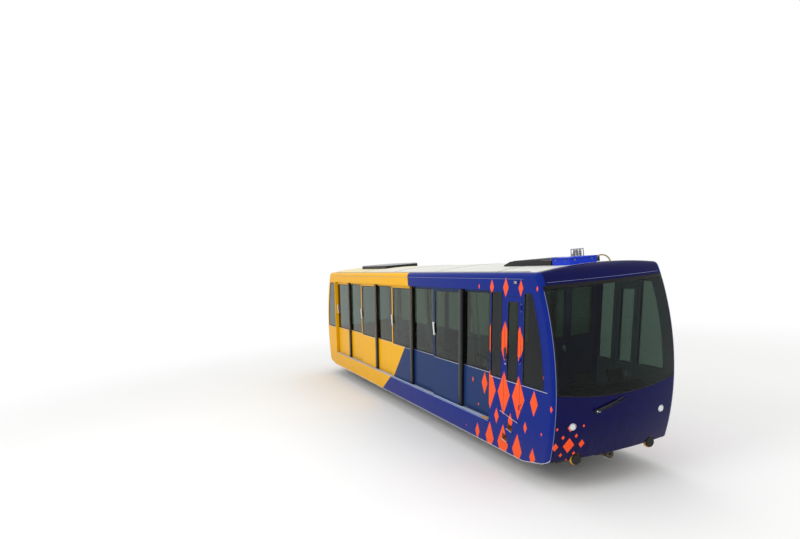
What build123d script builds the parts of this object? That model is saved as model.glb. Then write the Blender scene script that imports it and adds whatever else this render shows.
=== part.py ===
"""Funicular car with sloped sides, outside sliding doors and a cab at its upper end.

Millimetres. X runs along the rails, +X to the upper end. -Y is the side with the double-flanged wheels.
Z is square to the rails, and 0 is the lowest point, the tips of the wheel flanges. Inside this file
heights are above the rail's top, and the last step lifts everything by the flange's depth.
Posts and doors are plumb on the slope, so here their tops lean towards +X.
"""
import os
from math import sqrt

from build123d import *

# Whole car
FLANGE = 22.0            # depth of a wheel flange below the rail's top
HALF_WIDTH = 1200.0
SKIN = 35.0              # side, roof and nose panels
BAR4_X = 4530.0          # where the foremost door post meets LEAN_Z
PITCH = 2578.0           # one door module
MODULES = 4
LEAN = 0.182             # tilt of every upright against the rails' square
LEAN_Z = 512.0
SEAT = 0.3               # gap where a piece rests on another
REACH = 9000.0           # longer than the car, for cutters

# Heights above the rail
SKIRT_Z = 340.0
MASK_Z = 520.0
LEDGE_Z = 766.0
BELT_Z = 1651.0          # sill of the side windows
LIGHT_Z = 3160.0         # top of the side windows
HEAD_Z = 3180.0          # underside of the cantrail
SCREEN_Z = 3275.0        # top of the windscreens
ROOF_EDGE_Z = 3473.0     # where roof and side would meet without their rounding
CROWN_Z = 3560.0

# Rounded edges of the body
SHOULDER_R = 90.0
CORNER_R = 100.0
POST = 40.0              # what the side frames show from the front
SEAM_Y = HALF_WIDTH - POST
SHOULDER = 85.0          # what the cantrails show from above
EDGE_Y = HALF_WIDTH - SHOULDER

# Lower outline of the side, from BAR4_X forwards
SIDE_FOOT = (-10560.0, 1150.0)
FRONT_SWEEP = ((1720.0, 455.0), (1868.0, 520.0), (1960.0, 650.0))
REAR_SWEEP = ((-11235.0, 600.0), (-11170.0, 480.0), (-11040.0, 412.0))
SIDE_REACH = (-11900.0, 2700.0)

# Noses: both are barrels, measured outwards from BAR4_X
PLAN_R = 6000.0
NOSE_FOOT_Z = 280.0
NOSE_RISE = 15.0         # how far a nose's top would stand over the crown
FRONT_NOSE = dict(crest=2320.0, crest_z=2122.0, bulge_r=4113.0, brow_r=300.0, roof_end=1915.0)
REAR_NOSE = dict(crest=11378.0, crest_z=1012.0, bulge_r=4017.0, brow_r=550.0, roof_end=10150.0)
END_RUN = 450.0          # straight body kept in each rounded end
SILL_CENTRE_Z = 1500.0   # lower edge of a windscreen
SILL_CORNER_Z = 1625.0
SCREEN_GAP = 8.0
SCREEN_THICK = 14.0

# Door leaves slide outside the fixed panels, both behind the skin
LEAF_SET = 85.0
LEAF_THICK = 38.0
RUN_GAP = 17.0
PANEL_THICK = 35.0
LEAF_OUT = HALF_WIDTH - LEAF_SET
LEAF_IN = LEAF_OUT - LEAF_THICK
PANEL_OUT = LEAF_IN - RUN_GAP
PANEL_IN = PANEL_OUT - PANEL_THICK
JAMB = 22.0              # from a door post's line to the skin beside it
LEAF_START = 26.0
LEAF_LAP = 45.0          # leaf beyond the middle of its module
PANEL_LAP = 50.0
FRONT_STILE = 98.0
BACK_STILE = 42.0
LEAF_FOOT = 7.0          # running gap over the ledge
LEAF_HEAD = 12.0
STILE_ROUND = 12.0
PANE = 8.0
PANE_SET = 4.0           # pane behind its frame's face
LEAF_LIGHT_DROP = 75.0   # top of a leaf's window below the cantrail
PANEL_LIGHT_DROP = 60.0
PANEL_STILES = (75.0, 35.0)
HANGER_INSET = 230.0
HANGER_WIDTH = 120.0
GRIP_Z = 2270.0
GRIP_LENGTH = 280.0

# Door header with the rail that the hangers run on
HEADER_Z = 3240.0
HEADER_TOP_Z = 3425.0
HEADER_IN = PANEL_IN - 3
RUNNER_Z = 3262.0
RUNNER_LIP = 19.0
HANGER_HEIGHT = 20.0
RUNNER_HEAD = 40.0

# Cab door, from BAR4_X forwards, and the toe holds below it
DOOR_BACK = 516.0
DOOR_FRONT = 1026.0
DOOR_GAP = 8.0
DOOR_TOP_Z = 3095.0
DOOR_SILL_Z = 1058.0     # at its rear edge, level from there
DOOR_LIGHT_Z = 3010.0
HINGE_Z = (1250.0, 2050.0, 2920.0)
KNUCKLE_R = 10.0
TOE_HOLDS = ((795.0, 820.0), (605.0, 605.0))     # centre x, z
TOE_WIDTH = 150.0
TOE_HEIGHT = 110.0
TOE_DEPTH = 120.0
SHEET = 6.0

# Side windows beside the cab and at the lower end
SMALL_LIGHT = (60.0, 425.0)
QUARTER_BACK = 1097.0
QUARTER_INSET = 260.0
REAR_LIGHT_FRONT = -95.0
REAR_LIGHT_INSET = 190.0

# Floor and underframe
FLOOR_Z = 860.0
FLOOR_THICK = 40.0
FLOOR_REAR = 11000.0
FLOOR_FRONT = 1860.0
FLOOR_HALF = PANEL_IN - 7
SILL_REAR = 10750.0
SILL_FRONT = 1620.0
SILL_Y = 845.0
SILL_WIDTH = 110.0
SILL_TOP_Z = 600.0
SILL_HEIGHT = 100.0
SILL_WALL = 14.0
BEAM_TOP_Z = 655.0
BEAM_WIDTH = 110.0
BEAM_WEB = 40.0
BOLSTER = 210.0
HEADSTOCK = 50.0
HEADSTOCK_Z = 400.0
SOCKET_ROOM = 110.0      # half the gap in the front headstock for the rope socket
SOCKET_TOP_Z = 560.0

# Buffers, lamps, wipers
BUFFER_Y = 738.0
BUFFER_Z = 514.0
BUFFER_R = 84.0
BUFFER_STEM_R = 42.0
BUFFER_OUT = (1985.0, 11345.0)
BUFFER_BACK = (1670.0, 10800.0)
BUFFER_PAD = 60.0
BUFFER_CUP = 70.0
LAMP_Y = 870.0
LAMP_Z = 1088.0
LAMP_R = 50.0
LAMP_BULGE = 9.0
WIPER_PIVOT = (-490.0, 1290.0)
WIPER_TIP = (-120.0, 1405.0)

# Running gear
BOGIE_X = (4050.0, -3900.0)
WHEELBASE = 1700.0
WHEEL_R = 250.0
AXLE_R = 50.0
TRACK_Y = 532.0          # centre of each wheel's tread
TREAD = 84.0
ROLLER_TREAD = 190.0
FRAME_Y = 320.0
FRAME_THICK = 100.0
FRAME_Z = 430.0
PIVOT_Z = 540.0
PIVOT_R = 120.0
RAIL_GAP = 90.0          # room for the rail head in the brake jaws

# Roof gear, from BAR4_X forwards
BOX_X = (1390.0, 1850.0)
BOX_Y = (-500.0, 30.0)
BOX_TOP_Z = 3645.0
BOX_LID = (12.0, 25.0)   # overhang and thickness
UPPER_UNIT_X = (-150.0, 80.0, 1350.0)
UPPER_UNIT_Z = (3568.0, 3632.0)
LOWER_UNIT_X = (-8900.0, -6700.0)
LOWER_UNIT_Z = (3620.0, 3648.0)
UNIT_Y = 500.0
UNIT_ROUND = 12.0
MAST_X = 1200.0
HOOP_Y = (30.0, 285.0)
HOOP_TOP_Z = 3790.0
HOOP_WIRE = 18.0
INSULATOR_Y = (95.0, 157.0, 219.0)
INSULATOR_R = 20.0
CONDUIT_R = 12.0         # bent conduit from the cable box to the roof

# Inside
DESK_X = (1450.0, 1800.0, 2060.0)
DESK_Z = (1100.0, 1500.0, 1570.0, 1440.0)        # foot, front edge, top, rear edge
DESK_Y = 700.0
BENCH_LENGTH = 960.0
BENCH_SHAPE = ((0, 150), (120, 165), (150, 375), (440, 392), (470, 412), (462, 440), (400, 455), (90, 430),
               (62, 470), (34, 800), (16, 822), (0, 822))   # inwards from the side, up from the floor
POLE_Y = 620.0
POLE_R = 17.0

# Bulkhead behind the cab
WALL_BACK = 60.0
WALL_THICK = 35.0
WALL_LIGHTS = ((-940.0, -420.0), (-80.0, 340.0), (480.0, 940.0))
WALL_LIGHT_Z = (2150.0, 3060.0)


def lean(z):
    """X offset of an upright line at height z above the rail."""
    return LEAN * (z - LEAN_Z)


def bar(k, z, shift=0.0):
    """Point (x, z) on the upright k modules along, 0 at the lower end and 4 at the upper."""
    return (BAR4_X + (k - MODULES) * PITCH + shift + lean(z), z)


def plate(points, y0, y1):
    """Flat plate with the given XZ outline between two Y planes."""
    wire = Polyline(*[(x, 0, z) for x, z in points], close=True)
    return Pos(0, y0, 0) * extrude(make_face(wire), amount=y1 - y0, dir=(0, 1, 0))


def block(x0, x1, y0, y1, z0, z1):
    """Box between two corners."""
    size = (abs(x1 - x0), abs(y1 - y0), abs(z1 - z0))
    return Pos((x0 + x1) / 2, (y0 + y1) / 2, (z0 + z1) / 2) * Box(*size)


def upright(k, s0, s1, z0, z1, y0, y1):
    """Plate between two leaning lines, s0 and s1 from the upright k."""
    return plate([bar(k, z0, s0), bar(k, z0, s1), bar(k, z1, s1), bar(k, z1, s0)], y0, y1)


def rod(x, y, z, r, length, axis="z"):
    """Round bar centred at a point."""
    turn = {"x": Rot(0, 90, 0), "y": Rot(90, 0, 0), "z": Rot(0, 0, 0)}[axis]
    return Pos(x, y, z) * turn * Cylinder(r, length)


def across(x):
    """Plane square to the rails at x, with Y to its right and Z up."""
    return Plane(origin=(x, 0, 0), x_dir=(0, 1, 0), z_dir=(1, 0, 0))


def run(points, x0, x1):
    """A YZ profile drawn along the car from x0 to x1."""
    return extrude(across(x0) * make_face(Polyline(*points, close=True)), amount=x1 - x0)


def group(*shapes):
    """Several solids kept apart in one node."""
    return Compound([s for shape in shapes for s in shape.solids()])


def other_side(shape):
    """The same piece on the far side."""
    return mirror(shape, about=Plane.XZ)


def at_front(shape):
    """From nose coordinates to the car's upper end."""
    return Pos(BAR4_X, 0, 0) * shape


def at_rear(shape):
    """From nose coordinates to the car's lower end."""
    return Pos(BAR4_X, 0, 0) * mirror(shape, about=Plane.YZ)


def body_section(inset=0.0, base=100.0):
    """Cross-section of the body in Y and Z, inset evenly from the skin."""
    w, edge, crown = HALF_WIDTH - inset, ROOF_EDGE_Z - inset, CROWN_Z - inset
    outline = Curve() + [Line((w, base), (w, edge)), ThreePointArc((w, edge), (0, crown), (-w, edge)),
                         Line((-w, edge), (-w, base)), Line((-w, base), (w, base))]
    face = make_face(outline)
    return fillet(face.vertices().group_by(Axis.Y)[-1], SHOULDER_R - inset)


def body_prism(x0, x1, inset=0.0):
    """The body's section run from x0 to x1."""
    return extrude(across(x0) * body_section(inset), amount=x1 - x0)


def nose_x(nose, z, inset=0.0):
    """How far a nose reaches on its centre line at height z, below its brow."""
    r = nose["bulge_r"] - inset
    return nose["crest"] - nose["bulge_r"] + sqrt(r * r - (z - nose["crest_z"]) ** 2)


def nose_core(nose, inset=0.0):
    """Barrel turned about an upright axis. Its skin is the nose, inset evenly."""
    axis_x = nose["crest"] - PLAN_R
    top = CROWN_Z + NOSE_RISE - inset
    foot = (nose_x(nose, NOSE_FOOT_Z, inset) - axis_x, NOSE_FOOT_Z)
    crest = (PLAN_R - inset, nose["crest_z"])
    head = (nose_x(nose, top, inset) - axis_x, top)
    outline = Curve() + [ThreePointArc(foot, crest, head), Line(head, (0, top)),
                         Line((0, top), (0, NOSE_FOOT_Z)), Line((0, NOSE_FOOT_Z), foot)]
    face = make_face(outline)
    brow = face.vertices().sort_by_distance(head)[0]
    face = fillet(brow, nose["brow_r"] - inset)
    return Pos(axis_x, 0, 0) * revolve(Plane.XZ * face, Axis.Z, 360)


def joint_core(nose, gap):
    """Upright cylinder inside which the roof panel lies, and outside it the brow."""
    axis_x = nose["crest"] - PLAN_R
    return Pos(axis_x, 0, 0) * Cylinder(nose["roof_end"] - axis_x + gap, 9000)


def rounded_end(nose, inset):
    """One end of the body, with the edge between nose, sides and roof rounded."""
    start = nose["roof_end"] - END_RUN
    solid = body_prism(start, nose["crest"] + SKIN, inset) & nose_core(nose, inset)
    edge = [e for e in solid.edges() if e.bounding_box().size.X > 1 and e.bounding_box().size.Z > 1]
    return fillet(edge, CORNER_R - inset)


def hull(inset=0.0):
    """The whole body as one closed form, inset evenly from the skin."""
    x0 = BAR4_X - REAR_NOSE["roof_end"] + END_RUN
    x1 = BAR4_X + FRONT_NOSE["roof_end"] - END_RUN
    front, rear = rounded_end(FRONT_NOSE, inset), rounded_end(REAR_NOSE, inset)
    return body_prism(x0, x1, inset) + at_front(front) + at_rear(rear)


def nose_parts(nose, outer, inner, glass_in, place):
    """Mask, windscreen and brow of one end."""
    start = nose["roof_end"] - END_RUN
    far = nose["crest"] + SKIN
    half, brow_half = SEAM_Y - SEAT, EDGE_Y - SEAT
    sill = ThreePointArc((HALF_WIDTH, SILL_CORNER_Z), (0, SILL_CENTRE_Z), (-HALF_WIDTH, SILL_CORNER_Z))
    foot = Polyline((-HALF_WIDTH, SILL_CORNER_Z), (-HALF_WIDTH, MASK_Z), (HALF_WIDTH, MASK_Z),
                    (HALF_WIDTH, SILL_CORNER_Z))
    low = across(start) * make_face(Curve() + [sill, foot])
    head_z = SCREEN_Z - SCREEN_GAP / 2
    up_sill = Pos(0, SCREEN_GAP) * sill
    head = Polyline(up_sill @ 1, (-HALF_WIDTH, head_z), (HALF_WIDTH, head_z), up_sill @ 0)
    high = across(start) * make_face(Curve() + [up_sill, head])
    reach = block(start, far, -half, half, 0, CROWN_Z + 100)
    below = extrude(low, amount=far - start) & reach
    between = extrude(high, amount=far - start) & reach
    above = block(start, far, -brow_half, brow_half, SCREEN_Z + SCREEN_GAP / 2, CROWN_Z + 100)
    above = above - joint_core(nose, SEAT)
    mask = (outer & place(below)) - inner
    screen = (outer & place(between)) - glass_in
    brow = (outer & place(above)) - inner
    return mask, screen, brow


def ends(outer, inner, glass_in):
    """Masks, windscreens, brows, buffers, lamps and wipers."""
    nodes, buffers, lamps, wipers = {}, [], [], []
    places = (("front", FRONT_NOSE, at_front, BUFFER_OUT[0], BUFFER_BACK[0]),
              ("rear", REAR_NOSE, at_rear, BUFFER_OUT[1], BUFFER_BACK[1]))
    for name, nose, place, out, back in places:
        mask, screen, brow = nose_parts(nose, outer, inner, glass_in, place)
        for y in (-BUFFER_Y, BUFFER_Y):
            cup_x = out - BUFFER_PAD - BUFFER_CUP / 2
            mask = mask - place(rod(out - 100, y, BUFFER_Z, BUFFER_R + 16, 600, "x"))
            stem = rod((cup_x + back) / 2, y, BUFFER_Z, BUFFER_STEM_R, cup_x - back, "x")
            cup = Pos(cup_x, y, BUFFER_Z) * Rot(0, 90, 0) * Cone(BUFFER_STEM_R + 10, BUFFER_R, BUFFER_CUP)
            pad = rod(out - (BUFFER_PAD - SEAT) / 2, y, BUFFER_Z, BUFFER_R, BUFFER_PAD - SEAT, "x")
            pad = fillet(pad.edges().sort_by(Axis.X)[-1], 18)
            buffers += [place(stem + cup), place(pad)]
        for y in (-LAMP_Y, LAMP_Y):
            lamp_x = nose_x(nose, LAMP_Z) - (PLAN_R - sqrt(PLAN_R ** 2 - LAMP_Y ** 2)) + LAMP_BULGE
            bezel = rod(lamp_x - 40, y, LAMP_Z, LAMP_R, 80, "x")
            bezel = fillet(bezel.edges().sort_by(Axis.X)[-1], LAMP_BULGE)
            mask = mask - place(rod(lamp_x - 40, y, LAMP_Z, LAMP_R + SEAT, 300, "x"))
            lamps.append(place(bezel))
        wipers.append(place(wiper(nose)))
        nodes[name + "_mask"], nodes[name + "_windscreen"], nodes[name + "_brow"] = mask, screen, brow
    nodes["buffers"], nodes["end_lamps"], nodes["wipers"] = group(*buffers), group(*lamps), group(*wipers)
    return nodes


def wiper(nose):
    """Parked wiper: pivot cap, arm and blade that follow the nose's curve."""
    (py, pz), (ty, tz) = WIPER_PIVOT, WIPER_TIP
    run_y, run_z = ty - py, tz - pz
    length = sqrt(run_y ** 2 + run_z ** 2)
    uy, uz = run_y / length, run_z / length

    def strip(a, b, half_a, half_b):
        ends_yz = [(py + uy * a - uz * half_a, pz + uz * a + uy * half_a),
                   (py + uy * b - uz * half_b, pz + uz * b + uy * half_b),
                   (py + uy * b + uz * half_b, pz + uz * b - uy * half_b),
                   (py + uy * a + uz * half_a, pz + uz * a - uy * half_a)]
        return run(ends_yz, nose["crest"] - 400, nose["crest"] + 100)

    skin, top = nose_core(nose, -SEAT), nose_core(nose, -30)
    mid = nose_core(nose, -14)
    arm = (top - mid) & strip(0, length, 26, 12)
    blade = (mid - skin) & strip(length * 0.42, length + 130, 11, 11)
    cap = (nose_core(nose, -38) - skin) & rod(nose["crest"] - 100, py, pz, 34, 600, "x")
    return arm + blade + cap


def side_outline():
    """The side panel's outline in X and Z, with upswept lower corners."""
    def at(x, z):
        return (BAR4_X + x, 0, z)

    foot = [at(x, SKIRT_Z) for x in SIDE_FOOT]
    front, rear = [at(*p) for p in FRONT_SWEEP], [at(*p) for p in REAR_SWEEP]
    back, ahead = SIDE_REACH
    around = [front[-1], at(ahead, FRONT_SWEEP[-1][1]), at(ahead, CROWN_Z + 140), at(back, CROWN_Z + 140),
              at(back, REAR_SWEEP[0][1]), rear[0]]
    line = Curve() + [Line(*foot), Line(foot[1], front[0]), ThreePointArc(*front), Polyline(*around),
                      ThreePointArc(*rear), Line(rear[-1], foot[0])]
    return Pos(0, -HALF_WIDTH - 100, 0) * extrude(make_face(line), amount=HALF_WIDTH, dir=(0, 1, 0))


def light(points, y0, y1, limit=None):
    """Opening for one flat window between two Y planes, and its pane."""
    cutter = plate(points, y0 - 5, y1 + 5)
    pane = plate(points, y0 + PANE_SET, y0 + PANE_SET + PANE)
    if limit is not None:
        cutter, pane = cutter & limit, pane & limit
    return cutter, pane


def level_box(x, z, width, height, y0, y1):
    """Box in the side that is level and plumb on the slope, about a point given from BAR4_X."""
    corners = [(-1, -1), (1, -1), (1, 1), (-1, 1)]
    w, h = width / 2, height / 2
    return plate([(BAR4_X + x + a * w + b * LEAN * h, z - a * LEAN * w + b * h) for a, b in corners], y0, y1)


def cab_door():
    """Hinged cab door with its pull and knuckles, its pane, its doorway and the fixed knuckles."""
    out, back = -HALF_WIDTH, -HALF_WIDTH + SKIN
    sill = DOOR_SILL_Z
    drop = LEAN * (DOOR_FRONT - DOOR_BACK)

    def frame(gap):
        return [bar(4, sill + gap, DOOR_BACK + gap), bar(4, sill - drop + gap, DOOR_FRONT - gap),
                bar(4, DOOR_TOP_Z - gap, DOOR_FRONT - gap), bar(4, DOOR_TOP_Z - gap, DOOR_BACK + gap)]

    glazing = [bar(4, BELT_Z, DOOR_BACK + 95), bar(4, BELT_Z, DOOR_FRONT - 85),
               bar(4, DOOR_LIGHT_Z, DOOR_FRONT - 85), bar(4, DOOR_LIGHT_Z, DOOR_BACK + 95)]
    cutter, pane = light(glazing, out, back)
    door = plate(frame(DOOR_GAP), out, back) - cutter
    pull_x = bar(4, 2110, DOOR_BACK + 50)[0]
    door = door + rod(pull_x, out - 32, 2110, 11, 180)
    for z in (2036, 2184):
        door = door + block(pull_x - 10, pull_x + 10, out - 32, out, z - 8, z + 8)
    fixed = []
    pin_y = out - KNUCKLE_R - 1
    for z in HINGE_Z:
        pin = Plane(origin=(bar(4, z, DOOR_FRONT - 4)[0], pin_y, z), z_dir=(LEAN, 0, 1))
        wing = upright(4, DOOR_FRONT - 50, DOOR_FRONT - DOOR_GAP, z - 26, z + 26, pin_y, out + 5)
        door = door + pin * Cylinder(KNUCKLE_R, 60) + wing
        for side in (-1, 1):
            at = z + side * 50
            fixed.append(pin * Pos(0, 0, side * (45 + SEAT)) * Cylinder(KNUCKLE_R, 30))
            fixed.append(upright(4, DOOR_FRONT, DOOR_FRONT + 40, at - 14, at + 14, pin_y, out + 5))
    return door, pane, plate(frame(0), out - 50, back + 50), fixed


def toe_hold(x, z):
    """Hole in the side for one toe hold, and the tray behind it with its lip."""
    out, back = -HALF_WIDTH, -HALF_WIDTH + SKIN
    hole = level_box(x, z, TOE_WIDTH, TOE_HEIGHT, out - 50, out + TOE_DEPTH)
    tray = level_box(x, z, TOE_WIDTH + 2 * SHEET, TOE_HEIGHT + 2 * SHEET, back - 1, out + TOE_DEPTH + SHEET)
    lip = level_box(x, z - TOE_HEIGHT / 2, TOE_WIDTH + 20, 12, out - 14, back)
    return hole, tray, lip


def header_profile():
    """Channel with the lip that the door hangers run on, in Y and Z on the near side."""
    slot_out = -(LEAF_OUT + 11)
    slot_in = -PANEL_OUT
    lip = slot_in - RUNNER_LIP
    skin_in = -HALF_WIDTH + SKIN
    top = RUNNER_Z + RUNNER_HEAD
    return [(skin_in - 1, HEADER_Z), (slot_out, HEADER_Z), (slot_out, top), (slot_in, top),
            (slot_in, RUNNER_Z), (lip, RUNNER_Z), (lip, HEADER_Z), (-HEADER_IN, HEADER_Z),
            (-HEADER_IN, HEADER_TOP_Z), (skin_in - 1, HEADER_TOP_Z)]


def side_frames(outer, inner):
    """Near side's skirt, cantrail, cab side and rear side, with their panes and the cab door."""
    shell = (outer & block(-REACH, REACH, -HALF_WIDTH - 1, -EDGE_Y, 0, CROWN_Z)) - inner
    shell = shell - block(-REACH, REACH, -SEAM_Y, 0, 0, SCREEN_Z + SCREEN_GAP / 2)
    shell = shell & side_outline()
    y0, y1 = -HALF_WIDTH - 100, -PANEL_IN
    ahead = plate([bar(4, 0, JAMB), (REACH, 0), (REACH, 4000), bar(4, 4000, JAMB)], y0, y1)
    behind = plate([bar(0, 0, -JAMB), bar(0, 4000, -JAMB), (-REACH, 4000), (-REACH, 0)], y0, y1)
    low = block(-REACH, REACH, y0, y1, 0, HEAD_Z - SEAT)
    cab = shell & ahead & low
    rear = shell & behind & low
    skirt = (shell & block(-REACH, REACH, y0, y1, 0, LEDGE_Z)) - ahead - behind
    cantrail = shell & block(-REACH, REACH, y0, y1, HEAD_Z, CROWN_Z)

    # Windows of the cab side and the rear side stop short of the noses
    out, back = -HALF_WIDTH, -HALF_WIDTH + SKIN
    small = [bar(4, BELT_Z, SMALL_LIGHT[0]), bar(4, BELT_Z, SMALL_LIGHT[1]), bar(4, LIGHT_Z, SMALL_LIGHT[1]),
             bar(4, LIGHT_Z, SMALL_LIGHT[0])]
    front_limit = at_front(nose_core(FRONT_NOSE, QUARTER_INSET))
    quarter = [bar(4, BELT_Z, QUARTER_BACK), (BAR4_X + 2500, BELT_Z), (BAR4_X + 2500, LIGHT_Z),
               bar(4, LIGHT_Z, QUARTER_BACK)]
    rear_limit = at_rear(nose_core(REAR_NOSE, REAR_LIGHT_INSET))
    corner = [bar(0, BELT_Z, REAR_LIGHT_FRONT), bar(0, LIGHT_Z, REAR_LIGHT_FRONT), (BAR4_X - 11700, LIGHT_Z),
              (BAR4_X - 11700, BELT_Z)]
    cut_s, pane_s = light(small, out, back)
    cut_q, pane_q = light(quarter, out, back, front_limit)
    cut_r, pane_r = light(corner, out, back, rear_limit)
    door, door_pane, doorway, knuckles = cab_door()
    cab = cab - cut_s - cut_q - doorway
    rear = rear - cut_r
    for x, z in TOE_HOLDS:
        hole, tray, lip = toe_hold(x, z)
        cab = cab + tray + lip - hole
    for piece in knuckles:
        cab = cab + piece

    # Jambs that close the gap between skin and panels at the outer door posts
    jamb_z = (BEAM_TOP_Z + SEAT, HEAD_Z - SEAT)
    front_jamb = upright(4, JAMB + 2, JAMB + SKIN, *jamb_z, back - 1, -PANEL_IN)
    rear_jamb = upright(0, -JAMB - SKIN, -JAMB - 2, *jamb_z, back - 1, -PANEL_IN)
    cab, rear = cab + front_jamb, rear + rear_jamb

    # Ledge, its lip and the lower flange of the skirt
    ledge_x = (bar(0, LEDGE_Z, -15)[0], bar(4, LEDGE_Z, 15)[0])
    flange_x = (bar(0, SKIRT_Z)[0], bar(4, SKIRT_Z)[0])
    skirt = skirt + block(*ledge_x, back - 1, -PANEL_IN, LEDGE_Z - 22, LEDGE_Z)
    skirt = skirt + block(*flange_x, back - 1, -LEAF_OUT, SKIRT_Z, SKIRT_Z + 25)
    guide = block(ledge_x[0] + 25, ledge_x[1] - 75, out + 15, -LEAF_OUT - 15, LEDGE_Z, LEDGE_Z + 14)
    skirt = skirt + guide

    header = run(header_profile(), BAR4_X - REACH - 3000, BAR4_X + REACH) & inner
    near = dict(side_skirt=skirt, cantrail=cantrail + header, cab_side=cab, rear_side=rear)
    return near, [pane_s, pane_q, pane_r], door, door_pane


def leaf(k):
    """One sliding leaf with its hangers and grip, and its pane."""
    s0, s1 = LEAF_START, PITCH / 2 + LEAF_LAP
    z0, z1 = LEDGE_Z + LEAF_FOOT, HEAD_Z - LEAF_HEAD
    body = upright(k, s0, s1, z0, z1, -LEAF_OUT, -LEAF_IN)
    ahead = bar(k, (z0 + z1) / 2, s1 - 5)[0]
    body = fillet([e for e in body.edges() if e.length > z1 - z0 and e.center().X > ahead], STILE_ROUND)
    a, b, top = s0 + BACK_STILE, s1 - FRONT_STILE, HEAD_Z - LEAF_LIGHT_DROP
    glazing = [bar(k, BELT_Z, a), bar(k, BELT_Z, b), bar(k, top, b), bar(k, top, a)]
    cutter, pane = light(glazing, -LEAF_OUT, -LEAF_IN)
    body = body - cutter
    arm_out, arm_in = -LEAF_OUT + 3, -LEAF_IN - 7
    hook_z = RUNNER_Z + SEAT
    for s in (s0 + HANGER_INSET, s1 - HANGER_INSET):
        x = bar(k, z1, s)[0]
        x0, x1 = x - HANGER_WIDTH / 2, x + HANGER_WIDTH / 2
        body = body + block(x0, x1, arm_out, arm_in, z1 - 10, RUNNER_Z + HANGER_HEIGHT)
        body = body + block(x0, x1, arm_out, -PANEL_OUT - 6, hook_z, RUNNER_Z + HANGER_HEIGHT)
    grip_x = bar(k, GRIP_Z, s0 + 36)[0]
    half = GRIP_LENGTH / 2
    pull = Pos(grip_x, -LEAF_OUT - 27, GRIP_Z) * Box(32, 16, GRIP_LENGTH)
    pull = fillet(pull.edges().filter_by(Axis.Z), 6)
    for z in (GRIP_Z - half + 22, GRIP_Z + half - 22):
        pull = pull + rod(grip_x, -LEAF_OUT - 9, z, 11, 24, "y")
    return body + pull, pane


def fixed_panel(k):
    """Fixed window panel beside leaf k, behind its path, and its pane."""
    s0, s1 = PITCH / 2 - PANEL_LAP, PITCH - 24
    body = upright(k, s0, s1, LEDGE_Z + SEAT, HEADER_Z - SEAT, -PANEL_OUT, -PANEL_IN)
    a, b, top = s0 + PANEL_STILES[0], s1 - PANEL_STILES[1], HEAD_Z - PANEL_LIGHT_DROP
    glazing = [bar(k, BELT_Z, a), bar(k, BELT_Z, b), bar(k, top, b), bar(k, top, a)]
    cutter, pane = light(glazing, -PANEL_OUT, -PANEL_IN)
    return body - cutter, pane


def sides(outer, inner):
    """Both sides with their doors and glass."""
    nodes = {}
    near, panes, door, door_pane = side_frames(outer, inner)
    fixed = [upright(k, -19, 19, LEDGE_Z + SEAT, HEADER_Z - SEAT, -LEAF_OUT + 5, -LEAF_IN) for k in (1, 2, 3)]
    leaves = [leaf(k) for k in range(MODULES)]
    for k in range(MODULES):
        body, pane = fixed_panel(k)
        fixed.append(body)
        panes.append(pane)
    near["fixed_panels"] = group(*fixed)
    near["cab_door"], near["cab_door_glass"] = door, door_pane
    for k, (body, pane) in enumerate(leaves, 1):
        near[f"door_{k}"], near[f"door_glass_{k}"] = body, pane
    nodes["side_glass"] = group(*panes, *[other_side(p) for p in panes])
    for name, shape in near.items():
        nodes["near_" + name], nodes["far_" + name] = shape, other_side(shape)
    return nodes


def floor_steps():
    """Steps of the floor as (x0, x1, z0, z1), level on the slope, two to a door module."""
    tread = PITCH / 2
    top = FLOOR_Z + LEAN * tread / 2
    steps = []
    for j in range(-1, 2 * MODULES + 2):
        x = BAR4_X + (j - 2 * MODULES) * tread + lean(FLOOR_Z)
        x0, x1 = max(x, BAR4_X - FLOOR_REAR), min(x + tread, BAR4_X + FLOOR_FRONT)
        if x1 - x0 > FLOOR_THICK:
            steps.append((x0, x1, top - LEAN * (x0 - x), top - LEAN * (x1 - x)))
    return steps


def floor_top(x):
    """Height of the stepped floor at x."""
    for x0, x1, z0, z1 in floor_steps():
        if x0 <= x <= x1:
            return z0 + (z1 - z0) * (x - x0) / (x1 - x0)
    raise ValueError(x)


def on_floor(k, shift):
    """Point (x, z) where an upright stands on the floor, with its seat's gap."""
    z = FLOOR_Z
    for _ in range(6):
        z = floor_top(bar(k, z, shift)[0]) + SEAT
    return bar(k, z, shift)


def stepped_floor():
    """Treads and the risers that stand at their lower ends."""
    steps = floor_steps()
    solids = []
    for x0, x1, z0, z1 in steps:
        solids.append(plate([(x0, z0), (x1, z1), (x1, z1 - FLOOR_THICK), (x0, z0 - FLOOR_THICK)],
                            -FLOOR_HALF, FLOOR_HALF))
    for (_, x1, _, z1), (_, _, z2, _) in zip(steps, steps[1:]):
        top = z2 - LEAN * FLOOR_THICK - FLOOR_THICK - SEAT
        solids.append(block(x1 + SEAT, x1 + FLOOR_THICK, -FLOOR_HALF, FLOOR_HALF, z1 - FLOOR_THICK, top))
    return group(*solids)


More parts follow.
